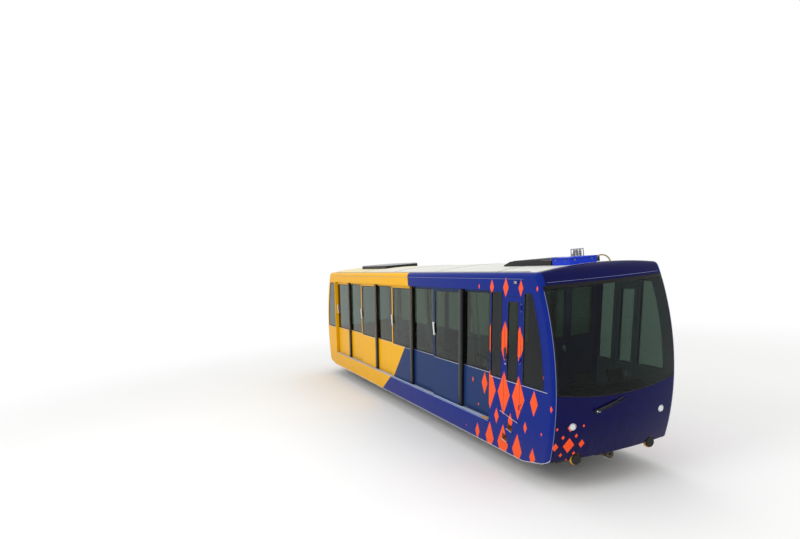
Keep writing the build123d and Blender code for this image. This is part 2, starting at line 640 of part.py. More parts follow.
def underframe():
    """Two channel sills, beams over them that carry the floor's steps, bolsters and headstocks."""
    x0, x1 = BAR4_X - SILL_REAR, BAR4_X + SILL_FRONT
    half, wall = SILL_WIDTH / 2, SILL_WALL
    bottom = SILL_TOP_Z - SILL_HEIGHT
    near, edge, top = SILL_Y - half, SILL_Y + half, SILL_TOP_Z
    channel = [(near, bottom), (edge, bottom), (edge, top), (near, top), (near, top - wall),
               (edge - wall, top - wall), (edge - wall, bottom + wall), (near, bottom + wall)]
    sill = run(channel, x0, x1)
    solids = [sill, other_side(sill)]
    beam_z = SILL_TOP_Z + SEAT
    reach = HALF_WIDTH - SKIN - SEAT
    lows = [(b, z) for _, b, _, z in floor_steps() if x0 + BEAM_WIDTH < b < x1 - BEAM_WIDTH]
    for x, z in lows:
        beam = block(x - BEAM_WIDTH / 2, x + BEAM_WIDTH / 2, -reach, reach, beam_z, BEAM_TOP_Z)
        if abs(x - BAR4_X) > SILL_REAR - 600:
            beam = beam & block(-REACH, REACH, -FLOOR_HALF, FLOOR_HALF, 0, BEAM_TOP_Z)
        web = block(x - BEAM_WEB, x, -SILL_Y, SILL_Y, beam_z, z - FLOOR_THICK - SEAT)
        solids.append(beam + web)
    for x in BOGIE_X:
        bolster = block(x - BOLSTER, x + BOLSTER, -edge, edge, beam_z, BEAM_TOP_Z)
        pivot = rod(x, 0, (PIVOT_Z + beam_z) / 2, PIVOT_R, beam_z - PIVOT_Z + 2)
        solids.append(bolster + Pos(0, 0, 1) * pivot)
    rear_x, front_x = (x0 - HEADSTOCK, x0 - SEAT), (x1 + SEAT, x1 + HEADSTOCK)
    solids.append(block(*rear_x, -edge, edge, HEADSTOCK_Z, BEAM_TOP_Z))
    room = SOCKET_ROOM
    solids.append(block(*front_x, -edge, -room, HEADSTOCK_Z, BEAM_TOP_Z))
    solids.append(block(*front_x, SEAT - room, room - SEAT, SOCKET_TOP_Z, BEAM_TOP_Z))
    solids.append(block(*front_x, room, edge, HEADSTOCK_Z, BEAM_TOP_Z))
    return group(*solids)


def under_gear():
    """Power pack hung from two beams, and the socket that takes the haul rope."""
    pack = [(x, z) for _, x, _, z in floor_steps() if BOGIE_X[1] + WHEELBASE < x < BOGIE_X[0] - WHEELBASE]
    first, last = pack[len(pack) // 2 - 1][0], pack[len(pack) // 2][0]
    top = SILL_TOP_Z
    tank = fillet(block(first - 55, last + 55, -700, -250, 330, top).edges().filter_by(Axis.X), 40)
    motor = fillet(block(first - 55, last - 120, 250, 650, 370, top).edges().filter_by(Axis.X), 40)
    nose = BAR4_X + SILL_FRONT
    socket = block(nose - 380, nose - 40, -90, 90, 330, top)
    socket = fillet(socket.edges().filter_by(Axis.X), 20) + rod(nose + 90, 0, 430, 70, 320, "x")
    socket = socket - rod(nose + 90, 0, 430, 22, 360, "x")
    return {"brake_power_pack": group(tank, motor), "rope_socket": socket}


def wheel(points):
    """Disc wheel turned from its profile of (offset along the axle, radius)."""
    face = make_face(Polyline(*[(r, y) for y, r in points], close=True))
    return revolve(Plane(origin=(0, 0, 0), x_dir=(0, 0, 1), z_dir=(-1, 0, 0)) * face, Axis.Y, 360)


def wheelset():
    """Axle with a double-flanged wheel at -Y and a wide plain roller at +Y."""
    t, tip = TREAD / 2, WHEEL_R + FLANGE
    rim, hub = WHEEL_R - 48, 98
    guide = [(-62, 0), (-62, hub), (-14, hub + 12), (-14, rim - 8), (-t - 26, rim), (-t - 26, tip - 6),
             (-t - 20, tip), (-t - 12, tip), (-t, WHEEL_R), (t, WHEEL_R), (t + 12, tip), (t + 20, tip),
             (t + 26, tip - 6), (t + 26, rim), (14, rim - 8), (14, hub + 12), (62, hub), (62, 0)]
    t = ROLLER_TREAD / 2
    plain = [(-62, 0), (-62, hub), (-16, hub + 12), (-16, rim - 8), (-t, rim), (-t, WHEEL_R - 6),
             (-t + 6, WHEEL_R), (t - 6, WHEEL_R), (t, WHEEL_R - 6), (t, rim), (16, rim - 8), (16, hub + 12),
             (62, hub), (62, 0)]
    length = 2 * TRACK_Y + 140
    axle = rod(0, 0, 0, AXLE_R, length, "y")
    return axle + Pos(0, -TRACK_Y, 0) * wheel(guide) + Pos(0, TRACK_Y, 0) * wheel(plain)


def bogie():
    """Bogie frame about its pivot: cranked side plates, bolster, end bars and two rail brakes."""
    h = WHEELBASE / 2
    low = WHEEL_R - 82
    side = [(-h - 190, FRAME_Z - 90), (-h - 130, FRAME_Z), (-h + 250, FRAME_Z), (-h + 420, FRAME_Z + 30),
            (h - 420, FRAME_Z + 30), (h - 250, FRAME_Z), (h + 130, FRAME_Z), (h + 190, FRAME_Z - 90),
            (h + 95, low), (h - 95, low), (h - 150, FRAME_Z - 130), (h - 380, FRAME_Z - 150),
            (-h + 380, FRAME_Z - 150), (-h + 150, FRAME_Z - 130), (-h + 95, low), (-h - 95, low)]
    inner, outer = FRAME_Y - FRAME_THICK / 2, FRAME_Y + FRAME_THICK / 2
    frame = rod(0, 0, (PIVOT_Z - SEAT + FRAME_Z) / 2, PIVOT_R - 10, PIVOT_Z - SEAT - FRAME_Z)
    wide = outer + 10
    bolster = [(-wide, FRAME_Z - 60), (-180, FRAME_Z - 80), (180, FRAME_Z - 80), (wide, FRAME_Z - 60),
               (wide, FRAME_Z + 20), (160, FRAME_Z + 60), (-160, FRAME_Z + 60), (-wide, FRAME_Z + 20)]
    frame = frame + run(bolster, -160, 160)
    for y in (-1, 1):
        frame = frame + plate(side, inner * y, outer * y)
        frame = frame + Pos(0, y * TRACK_Y, 0) * rail_brake(y)
    for end in (-1, 1):
        frame = frame + rod(end * (h + 110), 0, FRAME_Z - 60, 42, 2 * inner + 20, "y")
        frame = frame - rod(end * h, 0, WHEEL_R, AXLE_R + SEAT, 2 * outer + 40, "y")
    return frame


def rail_brake(y):
    """Brake caliper with a jaw each side of the rail head, its spring cylinder and its arm to the frame."""
    gap = RAIL_GAP / 2
    jaws = [(-gap - 62, 20), (-gap, 20), (-gap, 120), (gap, 120), (gap, 20), (gap + 62, 20), (gap + 44, 170),
            (60, 235), (-60, 235), (-gap - 44, 170)]
    caliper = run(jaws, -210, 210)
    cylinder = rod(0, 0, 300, 88, 300, "x")
    reach = TRACK_Y - FRAME_Y
    arm = block(-90, 90, -y * reach, 0, 260, 340)
    return caliper + cylinder + arm + block(-70, 70, -55, 55, 220, 300)


def running_gear():
    """Both bogies with their wheelsets."""
    nodes = {}
    frame, axle = bogie(), wheelset()
    for name, x in (("upper", BOGIE_X[0]), ("lower", BOGIE_X[1])):
        nodes[name + "_bogie"] = Pos(x, 0, 0) * frame
        for label, end in (("a", 1), ("b", -1)):
            nodes[f"{name}_wheelset_{label}"] = Pos(x + end * WHEELBASE / 2, 0, WHEEL_R) * axle
    return nodes


def interior():
    """Bulkhead and its glass, driver's desk, benches and grab poles."""
    nodes = {}
    in_y = HEADER_IN - SEAT
    room = hull_room(SKIN + SEAT)
    top = HEADER_TOP_Z - SEAT
    ahead = WALL_BACK + WALL_THICK
    outline = [on_floor(4, WALL_BACK), on_floor(4, ahead), bar(4, top, ahead), bar(4, top, WALL_BACK)]
    wall = plate(outline, -in_y, in_y)
    z0, z1 = WALL_LIGHT_Z
    mid = WALL_BACK + WALL_THICK / 2
    glass = []
    for y0, y1 in WALL_LIGHTS:
        wall = wall - upright(4, WALL_BACK - 50, WALL_BACK + WALL_THICK + 50, z0, z1, y0, y1)
        glass.append(upright(4, mid - PANE / 2, mid + PANE / 2, z0, z1, y0, y1))
    nodes["cab_bulkhead"], nodes["bulkhead_glass"] = wall & room, group(*glass)

    x0, x1, x2 = [BAR4_X + x for x in DESK_X]
    foot_z, front_z, top_z, back_z = DESK_Z
    desk = [(x0, floor_top(x0) + SEAT), (x1, floor_top(x1) + SEAT), (x2, foot_z), (x2, front_z),
            (x1 - 80, top_z), (x0 + 40, back_z + 40), (x0, back_z)]
    nodes["driver_desk"] = plate(desk, -DESK_Y, DESK_Y)
    seats, poles = [], []
    back_y = PANEL_IN - SEAT
    for k in range(MODULES):
        x, z = bar(k, FLOOR_Z, PITCH * 0.75)
        half = BENCH_LENGTH / 2
        bench = run([(back_y - y, z + rise) for y, rise in BENCH_SHAPE], x - half, x + half)
        seats += [bench, other_side(bench)]
        px = bar(k, FLOOR_Z, PITCH * 0.54)[0]
        foot = floor_top(px - POLE_R) + SEAT
        for y in (-POLE_Y, POLE_Y):
            poles.append(rod(px, y, (foot + CROWN_Z) / 2, POLE_R, CROWN_Z - foot) & room)
    nodes["benches"], nodes["grab_poles"] = group(*seats), group(*poles)
    return nodes


def hull_room(inset):
    """Straight room inside the body, long enough for what stands under the roof."""
    return body_prism(BAR4_X - SILL_REAR, BAR4_X + SILL_FRONT, inset)


def seat_on_roof(shape):
    """Trim the foot of a piece to the roof's curve."""
    return shape - body_prism(BAR4_X - SILL_REAR, BAR4_X + FRONT_NOSE["roof_end"], -SEAT)


def roof_gear():
    """Cable box, low units and current collector on the roof."""
    x = BAR4_X
    under = ROOF_EDGE_Z
    (bx0, bx1), (by0, by1), (over, thick) = BOX_X, BOX_Y, BOX_LID
    box = block(x + bx0, x + bx1, by0, by1, under, BOX_TOP_Z)
    lid = block(x + bx0 - over, x + bx1 + over, by0 - over, by1 + over, BOX_TOP_Z, BOX_TOP_Z + thick)
    back, ramp, ahead = [x + v for v in UPPER_UNIT_X]
    low_z, high_z = UPPER_UNIT_Z
    upper = [(back, under), (ahead, under), (ahead, high_z), (ramp, high_z), (back, low_z)]
    upper = plate(upper, -UNIT_Y, UNIT_Y)
    back, ahead = [x + v for v in LOWER_UNIT_X]
    edge_z, top_z = LOWER_UNIT_Z
    lower = plate([(back, under), (ahead, under), (ahead, edge_z), (ahead - 60, top_z), (back + 60, top_z),
                   (back, edge_z)], -UNIT_Y, UNIT_Y)
    tops = [seat_on_roof(u) for u in (upper, lower)]
    units = [fillet(u.edges().filter_by(Axis.Y).sort_by(Axis.Z)[-2:], UNIT_ROUND) for u in tops]
    mast_x, top, wire = x + MAST_X, high_z + SEAT, HOOP_WIRE
    rail_z = HOOP_TOP_Z - wire
    hoop = block(mast_x - wire / 2, mast_x + wire / 2, *HOOP_Y, rail_z, HOOP_TOP_Z)
    for y in HOOP_Y:
        hoop = hoop + rod(mast_x, y, (top + HOOP_TOP_Z) / 2, wire / 2, HOOP_TOP_Z - top)
    for y in INSULATOR_Y:
        length = rail_z - INSULATOR_R - top
        hoop = hoop + rod(mast_x, y, rail_z - length / 2, INSULATOR_R, length)
    mid = sum(HOOP_Y) / 2
    brace = plate([(mast_x - 230, top), (mast_x - 200, top), (mast_x, rail_z - 20), (mast_x, rail_z + 8)],
                  mid - 12, mid + 12)
    foot = block(mast_x - 240, mast_x + 40, HOOP_Y[0] - 15, HOOP_Y[1] + 15, top, top + 12)
    bend_x = x + bx1
    bend = ThreePointArc((bend_x - 60, by1 + over + SEAT, BOX_TOP_Z - 35), (bend_x - 25, 180, BOX_TOP_Z + 17),
                         (bend_x + 10, 290, BOX_TOP_Z - 115))
    conduit = seat_on_roof(sweep(Plane(origin=bend @ 0, z_dir=bend % 0) * Circle(CONDUIT_R), path=bend))
    return {"roof_box": seat_on_roof(box + lid), "roof_vents": group(*units),
            "current_collector": group(hoop + brace + foot, conduit)}


def roof_panel(outer):
    """Roof between the two brows, its ends round the noses' axes."""
    half = EDGE_Y - SEAT
    axis_f = BAR4_X + FRONT_NOSE["crest"] - PLAN_R
    axis_r = BAR4_X - REAR_NOSE["crest"] + PLAN_R
    low, high = ROOF_EDGE_Z - SHOULDER_R, CROWN_Z + 1
    middle = block(axis_r, axis_f, -half, half, low, high)
    front = block(axis_f, axis_f + PLAN_R, -half, half, low, high) & at_front(joint_core(FRONT_NOSE, 0))
    rear = block(axis_r - PLAN_R, axis_r, -half, half, low, high) & at_rear(joint_core(REAR_NOSE, 0))
    return (outer & (middle + front + rear)) - hull_long(SKIN)


def hull_long(inset):
    """Straight body that runs past both ends."""
    return body_prism(BAR4_X - REACH - 3000, BAR4_X + REACH, inset)


def build():
    """All nodes, with heights above the rail."""
    outer, inner, glass_in = hull(), hull(SKIN), hull(SCREEN_THICK)
    nodes = ends(outer, inner, glass_in)
    nodes.update(sides(outer, inner))
    nodes["roof"] = roof_panel(outer)
    nodes["stepped_floor"] = stepped_floor()
    nodes["underframe"] = underframe()
    nodes.update(under_gear())
    nodes.update(running_gear())
    nodes.update(interior())
    nodes.update(roof_gear())
    return nodes


def main():
    """Write one STEP file a node."""
    os.makedirs("parts", exist_ok=True)
    for name, shape in build().items():
        export_step(Pos(0, 0, FLANGE) * shape, f"parts/{name}.step")
        box = shape.bounding_box()
        print(f"{name:26s} {len(shape.solids()):3d} solids  x {box.min.X:8.0f} {box.max.X:8.0f}"
              f"  y {box.min.Y:7.0f} {box.max.Y:7.0f}  z {box.min.Z:6.0f} {box.max.Z:6.0f}")


if __name__ == "__main__":
    main()
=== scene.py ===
"""Looks of the funicular car: paint, glass, seals, trim, fittings, light and camera.

Metres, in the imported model's frame: +X to the upper end, -Y the photographed side, Z 0 at the wheels'
lowest point.
"""

import logging
import math
from collections.abc import Callable, Sequence
from dataclasses import dataclass
from enum import Enum

import bmesh
import bpy
from mathutils import Matrix, Vector
from mathutils.bvhtree import BVHTree


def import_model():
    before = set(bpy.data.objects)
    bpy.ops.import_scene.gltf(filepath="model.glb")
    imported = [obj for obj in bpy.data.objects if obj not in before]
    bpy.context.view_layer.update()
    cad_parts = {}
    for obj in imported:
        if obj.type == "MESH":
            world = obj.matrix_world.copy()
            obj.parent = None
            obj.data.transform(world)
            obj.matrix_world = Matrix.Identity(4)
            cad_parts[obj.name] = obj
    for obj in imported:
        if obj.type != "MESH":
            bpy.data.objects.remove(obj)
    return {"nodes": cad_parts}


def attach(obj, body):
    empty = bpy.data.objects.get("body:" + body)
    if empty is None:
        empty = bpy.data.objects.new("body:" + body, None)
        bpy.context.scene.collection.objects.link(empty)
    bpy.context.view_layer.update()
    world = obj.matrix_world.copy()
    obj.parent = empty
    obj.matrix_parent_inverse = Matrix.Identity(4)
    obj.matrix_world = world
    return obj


log = logging.getLogger("funicular")

LEAN = 0.182            # X that every upright gains per metre of height
BAR4_X = 4.530          # where the foremost door post meets LEAN_Z
LEAN_Z = 0.534
PITCH = 2.578           # one door module
MODULES = 4
HALF_WIDTH = 1.200
SEAM_Y = 1.160          # joint between corner posts and ends
FOOT_Z = 0.362          # lower edge of the sides
LEDGE_Z = 0.788
BELT_Z = 1.673          # sill of the side windows
LIGHT_Z = 3.182         # top of the side windows
HEAD_Z = 3.202          # underside of the cantrail
SCREEN_Z = 3.297        # top of the windscreens
CROWN_Z = 3.582         # top of the roof panel
LEAF_Y = 1.115          # outer face of the sliding leaves
PANEL_Y = 1.060         # outer face of the fixed panels
BENCH_Z = 0.882         # height at which benches and poles are set out from the door posts
AXLE_Z = 0.272
AXLE_REACH = 0.850      # from a bogie's pivot to its axles
AXLES = (("a", 1), ("b", -1))
BOGIES = (("upper", 4.05), ("lower", -3.90))    # name and X of each pivot

# Border between yellow and blue on the sides, and the middle of the mosaic
BORDER_X, BORDER_Z = 0.5, 0.81      # how far behind the middle it bends, and at what height
BORDER_UPPER = 1.111                # X per metre above the bend
BORDER_LOWER = 1.674                # X per metre below it
WINDOW_BORDER_X = 0.720             # leaning border between the windows, at LEAN_Z
WINDOW_BORDER_MAX = 1.19
MOSAIC_X, MOSAIC_Z = 4.96, 1.42

# Screen colours that several finishes share
PAINT_YELLOW = "F4B40C"
PAINT_BLUE = "0C257F"
DOOR_BLUE = "1C3566"
BUFFER_YELLOW = "E0A21A"
ACCENT = "FF5A24"
DUST = "6E624F"

SMOOTH_ANGLE = 35.0     # edges sharper than this stay sharp
OPEN = 99.0             # further than anything, for a zone without that side
IMAGE_SIZE = (800, 539)

Pair = tuple[float, float]
Pairs = tuple[Pair, ...]
Point = tuple[float, float, float]
Socket = bpy.types.NodeSocket


class Side(Enum):
    """The two sides of the car, with the sign of their Y."""
    NEAR = -1
    FAR = 1

    @property
    def word(self) -> str:
        """Name used at the front of the side's nodes and bodies."""
        return self.name.lower()


def srgb(code: str) -> tuple[float, float, float, float]:
    """Linear colour of a hexadecimal screen colour such as 'F6BE2A'.

    Args:
        code: Six hexadecimal digits.

    Returns:
        Red, green, blue and alpha.
    """
    parts = [int(code[i:i + 2], 16) / 255 for i in (0, 2, 4)]
    linear = [c / 12.92 if c <= 0.04045 else ((c + 0.055) / 1.055) ** 2.4 for c in parts]
    return (*linear, 1.0)


def bar_x(k: float, z: float, shift: float = 0.0) -> float:
    """X of the leaning door post k at height z, moved along by shift."""
    return BAR4_X + (k - MODULES) * PITCH + shift + LEAN * (z - LEAN_Z)


def rounded(corners: Sequence[Pair], radius: float, steps: int = 5) -> list[Pair]:
    """Outline with its sharp corners turned into arcs.

    Args:
        corners: Points of a closed outline.
        radius: Radius of the arcs.
        steps: Pieces of each arc.

    Returns:
        The points of the rounded outline.
    """
    outline: list[Pair] = []
    for i, corner in enumerate(corners):
        here = Vector(corner)
        back = (Vector(corners[i - 1]) - here).normalized()
        on = (Vector(corners[(i + 1) % len(corners)]) - here).normalized()
        half = back.angle(on) / 2
        if half > 1.35:
            outline.append(corner)
            continue
        middle = here + (back + on).normalized() * (radius / math.sin(half))
        start = here + back * (radius / math.tan(half)) - middle
        stop = here + on * (radius / math.tan(half)) - middle
        for j in range(steps + 1):
            x, z = middle + start.lerp(stop, j / steps).normalized() * radius
            outline.append((x, z))
    return outline


@dataclass(frozen=True)
class Nose:
    """One end of the car: a barrel turned about an upright axis.

    Attributes:
        way: 1 at the upper end and -1 at the lower end.
        crest: Furthest reach of the nose from BAR4_X.
        crest_z: Height of that point.
        bulge_r: Radius of the nose seen from the side.
        plan_r: Radius of the nose seen from above.
    """
    way: int
    crest: float
    crest_z: float
    bulge_r: float
    plan_r: float = 6.000

    def point(self, y: float, z: float, proud: float = 0.0) -> Vector:
        """Point on the nose at y and z, standing proud of it.

        Args:
            y: Place across the car.
            z: Height.
            proud: Distance outside the skin.

        Returns:
            The point in the car's frame.
        """
        bulge = self.bulge_r + proud
        reach = self.crest - self.bulge_r + math.sqrt(bulge ** 2 - (z - self.crest_z) ** 2)
        centre = self.crest - self.plan_r
        return Vector((BAR4_X + self.way * (centre + math.sqrt((reach - centre) ** 2 - y ** 2)), y, z))


FRONT = Nose(1, 2.320, 2.144, 4.113)
REAR = Nose(-1, 11.378, 1.034, 4.017)


def sill_z(y: float) -> float:
    """Height of the joint between mask and windscreen."""
    return 1.526 + 0.0868 * y * y


class Graph:
    """Adds and joins shader nodes in one node tree."""

    def __init__(self, tree: bpy.types.NodeTree) -> None:
        """Work in tree."""
        self.tree = tree

    def add(self, kind: str, inputs: dict[str | int, object] | None = None,
            **settings: object) -> bpy.types.Node:
        """Add one node.

        Args:
            kind: Blender's name of the node type.
            inputs: Values or sockets for its inputs, by name or number.
            settings: Properties of the node.

        Returns:
            The new node.
        """
        node = self.tree.nodes.new(kind)
        for name, value in settings.items():
            setattr(node, name, value)
        for name, value in (inputs or {}).items():
            self.feed(node.inputs[name], value)
        return node

    def feed(self, socket: Socket, value: object) -> None:
        """Join a socket to another, or set its value.

        Args:
            socket: Socket to feed.
            value: Socket or value that goes in.
        """
        if isinstance(value, bpy.types.NodeSocket):
            self.tree.links.new(value, socket)
        else:
            socket.default_value = value

    def math(self, operation: str, a: object, b: object = 0.0) -> Socket:
        """Result of one mathematical operation."""
        return self.add("ShaderNodeMath", {0: a, 1: b}, operation=operation).outputs[0]

    def product(self, first: object, *others: object) -> Socket:
        """All values multiplied together.

        Args:
            first: First value.
            others: The other values.

        Returns:
            The product.
        """
        for other in others:
            first = self.math("MULTIPLY", first, other)
        return first

    def smooth(self, value: object, low: float, high: float) -> Socket:
        """Soft step from 0 at low to 1 at high.

        Args:
            value: Value that it follows.
            low: Where it is 0.
            high: Where it is 1.

        Returns:
            The step.
        """
        node = self.add("ShaderNodeMapRange", {"Value": value, "From Min": low, "From Max": high},
                        interpolation_type="SMOOTHSTEP", clamp=True)
        return node.outputs["Result"]

    def between(self, value: object, low: float, high: float) -> Socket:
        """Straight mapping of 0..1 onto low..high."""
        node = self.add("ShaderNodeMapRange", {"Value": value, "To Min": low, "To Max": high})
        return node.outputs["Result"]

    def mix(self, factor: object, a: object, b: object) -> Socket:
        """Colour between a and b."""
        node = self.add("ShaderNodeMix", {0: factor, 6: a, 7: b}, data_type="RGBA")
        return node.outputs[2]

    def noise(self, vector: object, scale: float, detail: float = 2.0, roughness: float = 0.5) -> Socket:
        """Grey noise at a scale per metre."""
        return self.add("ShaderNodeTexNoise", {"Vector": vector, "Scale": scale, "Detail": detail,
                                               "Roughness": roughness}).outputs[0]

    def place(self) -> Socket:
        """Object coordinates, which are the car's own metres."""
        return self.add("ShaderNodeTexCoord").outputs["Object"]

    def split(self, vector: object) -> tuple[Socket, Socket, Socket]:
        """X, Y and Z of a vector."""
        node = self.add("ShaderNodeSeparateXYZ", {0: vector})
        return node.outputs[0], node.outputs[1], node.outputs[2]

    def group(self, tree: bpy.types.NodeTree, inputs: dict[str, object] | None = None) -> bpy.types.Node:
        """Add a shared group.

        Args:
            tree: The group.
            inputs: What goes into its inputs, by their names.

        Returns:
            The group's node.
        """
        node = self.add("ShaderNodeGroup", node_tree=tree)
        for name, value in (inputs or {}).items():
            self.feed(node.inputs[name], value)
        return node


class Shader(Graph):
    """Nodes of one material."""

    def __init__(self, name: str, effects: "Effects | None" = None) -> None:
        """Start a material.

        Args:
            name: Name of the material.
            effects: The shared node groups.
        """
        self.effects = effects
        self.material = bpy.data.materials.new(name)
        self.material.use_nodes = True
        super().__init__(self.material.node_tree)
        self.surface = self.tree.nodes["Principled BSDF"]

    def set(self, **values: object) -> None:
        """Feed the shader's sockets, named with underscores for spaces."""
        for name, value in values.items():
            self.feed(self.surface.inputs[name.replace("_", " ")], value)

    def bump(self, height: object, strength: float, distance: float) -> None:
        """Join a height to the shader's normal."""
        node = self.add("ShaderNodeBump", {"Height": height, "Strength": strength, "Distance": distance})
        self.feed(self.surface.inputs["Normal"], node.outputs["Normal"])


class Effects:
    """Node groups that several finishes share, made once."""

    def __init__(self) -> None:
        """Build every group."""
        self.dust = self._dust()
        self.wear = self._wear()
        self.grain = self._grain()
        self.lozenges = self._lozenges()
        self.livery = self._livery()

    @staticmethod
    def _start(name: str, inputs: dict[str, object],
               outputs: Sequence[str] = ("Mask",)) -> tuple[Graph, bpy.types.Node, bpy.types.Node]:
        """Open a group with named inputs and outputs.

        Args:
            name: Name of the group.
            inputs: Value of each input, a number or a colour.
            outputs: Name of each output, of which Color alone is a colour.

        Returns:
            Its graph, its input node and its output node.
        """
        tree = bpy.data.node_groups.new(name, "ShaderNodeTree")
        for label, value in inputs.items():
            kind = "NodeSocketFloat" if isinstance(value, float) else "NodeSocketColor"
            tree.interface.new_socket(label, in_out="INPUT", socket_type=kind).default_value = value
        for label in outputs:
            kind = "NodeSocketColor" if label == "Color" else "NodeSocketFloat"
            tree.interface.new_socket(label, in_out="OUTPUT", socket_type=kind)
        graph = Graph(tree)
        return graph, graph.add("NodeGroupInput"), graph.add("NodeGroupOutput")

    def _dust(self) -> bpy.types.NodeTree:
        """Road dust, thicker low down and in streaks.

        Returns:
            The group.
        """
        g, start, end = self._start("road_dust", {"Amount": 1.0, "Top": 1.2})
        place = g.place()
        height = g.split(place)[2]
        low = g.math("SUBTRACT", start.outputs["Top"], height)
        low = g.math("MAXIMUM", g.math("DIVIDE", low, start.outputs["Top"]), 0.04)
        streaks = g.add("ShaderNodeMapping", {"Vector": place, "Scale": (6.0, 6.0, 1.2)}).outputs[0]
        mask = g.product(g.noise(streaks, 2.2, 5.0, 0.6), g.noise(place, 34.0, 3.0, 0.6), low,
                         start.outputs["Amount"], 2.6)
        g.feed(end.inputs["Mask"], g.math("MINIMUM", mask, 0.85))
        return g.tree

    def _wear(self) -> bpy.types.NodeTree:
        """Rubbed edges, broken up by noise.

        Returns:
            The group.
        """
        g, start, end = self._start("edge_wear", {"Width": 0.004, "Amount": 1.0})
        rounded = g.add("ShaderNodeBevel", {"Radius": start.outputs["Width"]}, samples=4).outputs[0]
        plain = g.add("ShaderNodeNewGeometry").outputs["Normal"]
        dot = g.add("ShaderNodeVectorMath", {0: rounded, 1: plain}, operation="DOT_PRODUCT").outputs["Value"]
        edge = g.smooth(g.math("SUBTRACT", 1.0, dot), 0.02, 0.16)
        broken = g.smooth(g.noise(g.place(), 60.0, 4.0, 0.65), 0.42, 0.62)
        g.feed(end.inputs["Mask"], g.product(edge, broken, start.outputs["Amount"]))
        return g.tree

    def _grain(self) -> bpy.types.NodeTree:
        """Fine and coarse grain together.

        Returns:
            The group.
        """
        g, start, end = self._start("surface_grain", {"Scale": 300.0}, ("Fine", "Coarse"))
        place = g.place()
        fine = g.add("ShaderNodeTexNoise", {"Vector": place, "Scale": start.outputs["Scale"], "Detail": 3.0})
        broad = g.product(start.outputs["Scale"], 0.02)
        coarse = g.add("ShaderNodeTexNoise", {"Vector": place, "Scale": broad, "Detail": 4.0})
        g.feed(end.inputs["Fine"], fine.outputs[0])
        g.feed(end.inputs["Coarse"], coarse.outputs[0])
        return g.tree

    def _lozenges(self) -> bpy.types.NodeTree:
        """Lozenges that shrink away from a middle, a plain geometric decoration.

        Returns:
            The group.
        """
        g, start, end = self._start(
            "lozenge_mosaic", {"Across": 0.0, "Up": 0.0, "Middle Across": 0.0, "Middle Up": 0.0,
                               "Cell Width": 0.46, "Cell Height": 0.92, "Reach": 3.2, "Stretch": 1.0})
        u0, v0 = [g.math("DIVIDE", g.math("SUBTRACT", start.outputs[along], start.outputs[f"Middle {along}"]),
                         start.outputs[f"Cell {size}"])
                  for along, size in (("Across", "Width"), ("Up", "Height"))]
        masks = []
        for offset, share in ((0.5, 1.0), (0.0, 0.42)):
            u, v = g.math("ADD", u0, offset), g.math("ADD", v0, offset)
            cu, cv = [g.math("SUBTRACT", g.math("ADD", g.math("FLOOR", value), 0.5), offset) for value in (u,
                                                                                                           v)]
            cv = g.product(cv, start.outputs["Stretch"])
            away = g.math("SQRT", g.math("ADD", g.product(cu, cu), g.product(cv, cv)))
            size = g.math("SUBTRACT", 1.1, g.math("DIVIDE", away, start.outputs["Reach"]))
            size = g.product(g.math("MINIMUM", g.math("MAXIMUM", size, 0.0), 0.82), 0.56 * share)
            fu, fv = [g.math("ABSOLUTE", g.math("SUBTRACT", g.math("FRACT", value), 0.5)) for value in (u, v)]
            masks.append(g.math("LESS_THAN", g.math("ADD", fu, fv), g.math("SUBTRACT", size, 0.03)))
        g.feed(end.inputs["Mask"], g.math("MAXIMUM", *masks))
        return g.tree

    def _livery(self) -> bpy.types.NodeTree:
        """Yellow lower part, blue upper part and their slanted edge, with the mosaic beside the cab.

        Returns:
            The group.
        """
        g, start, end = self._start(
            "side_livery", {"Yellow": srgb(PAINT_YELLOW), "Blue": srgb(PAINT_BLUE), "Accent": srgb(ACCENT),
                            "Pieces": 1.0}, ("Color", "Mask"))
        x, _, z = g.split(g.place())
        rise = g.math("SUBTRACT", z, BORDER_Z)
        low = g.math("ADD", g.product(g.math("MAXIMUM", rise, 0.0), BORDER_UPPER),
                     g.product(g.math("MINIMUM", rise, 0.0), BORDER_LOWER))
        low = g.math("SUBTRACT", low, BORDER_X)
        high = g.math("ADD", g.product(g.math("SUBTRACT", z, LEAN_Z), LEAN), WINDOW_BORDER_X)
        high = g.math("MINIMUM", high, WINDOW_BORDER_MAX)
        upper = g.math("GREATER_THAN", z, BELT_Z + 0.002)
        edge = g.math("ADD", g.product(low, g.math("SUBTRACT", 1.0, upper)), g.product(high, upper))
        ahead = g.math("GREATER_THAN", x, edge)
        base = g.mix(ahead, start.outputs["Yellow"], start.outputs["Blue"])
        across = g.math("SUBTRACT", x, g.product(z, LEAN))
        pieces = g.group(self.lozenges,
                         {"Across": across, "Up": z, "Middle Across": MOSAIC_X, "Middle Up": MOSAIC_Z,
                                         "Stretch": 1.15}).outputs["Mask"]
        pieces = g.product(pieces, ahead, start.outputs["Pieces"])
        g.feed(end.inputs["Color"], g.mix(pieces, base, start.outputs["Accent"]))
        g.feed(end.inputs["Mask"], ahead)
        return g.tree


@dataclass(frozen=True)
class Finish:
    """A surface finish. Each kind knows how to make its material.

    Attributes:
        name: Name of the material.
    """
    name: str

    def material(self, effects: Effects) -> bpy.types.Material:
        """Make the material.

        Args:
            effects: The shared node groups.

        Returns:
            The material.
        """
        s = Shader(self.name, effects)
        self.paint(s)
        return s.material

    def paint(self, s: Shader) -> None:
        """Lay the finish into the shader."""
        raise NotImplementedError


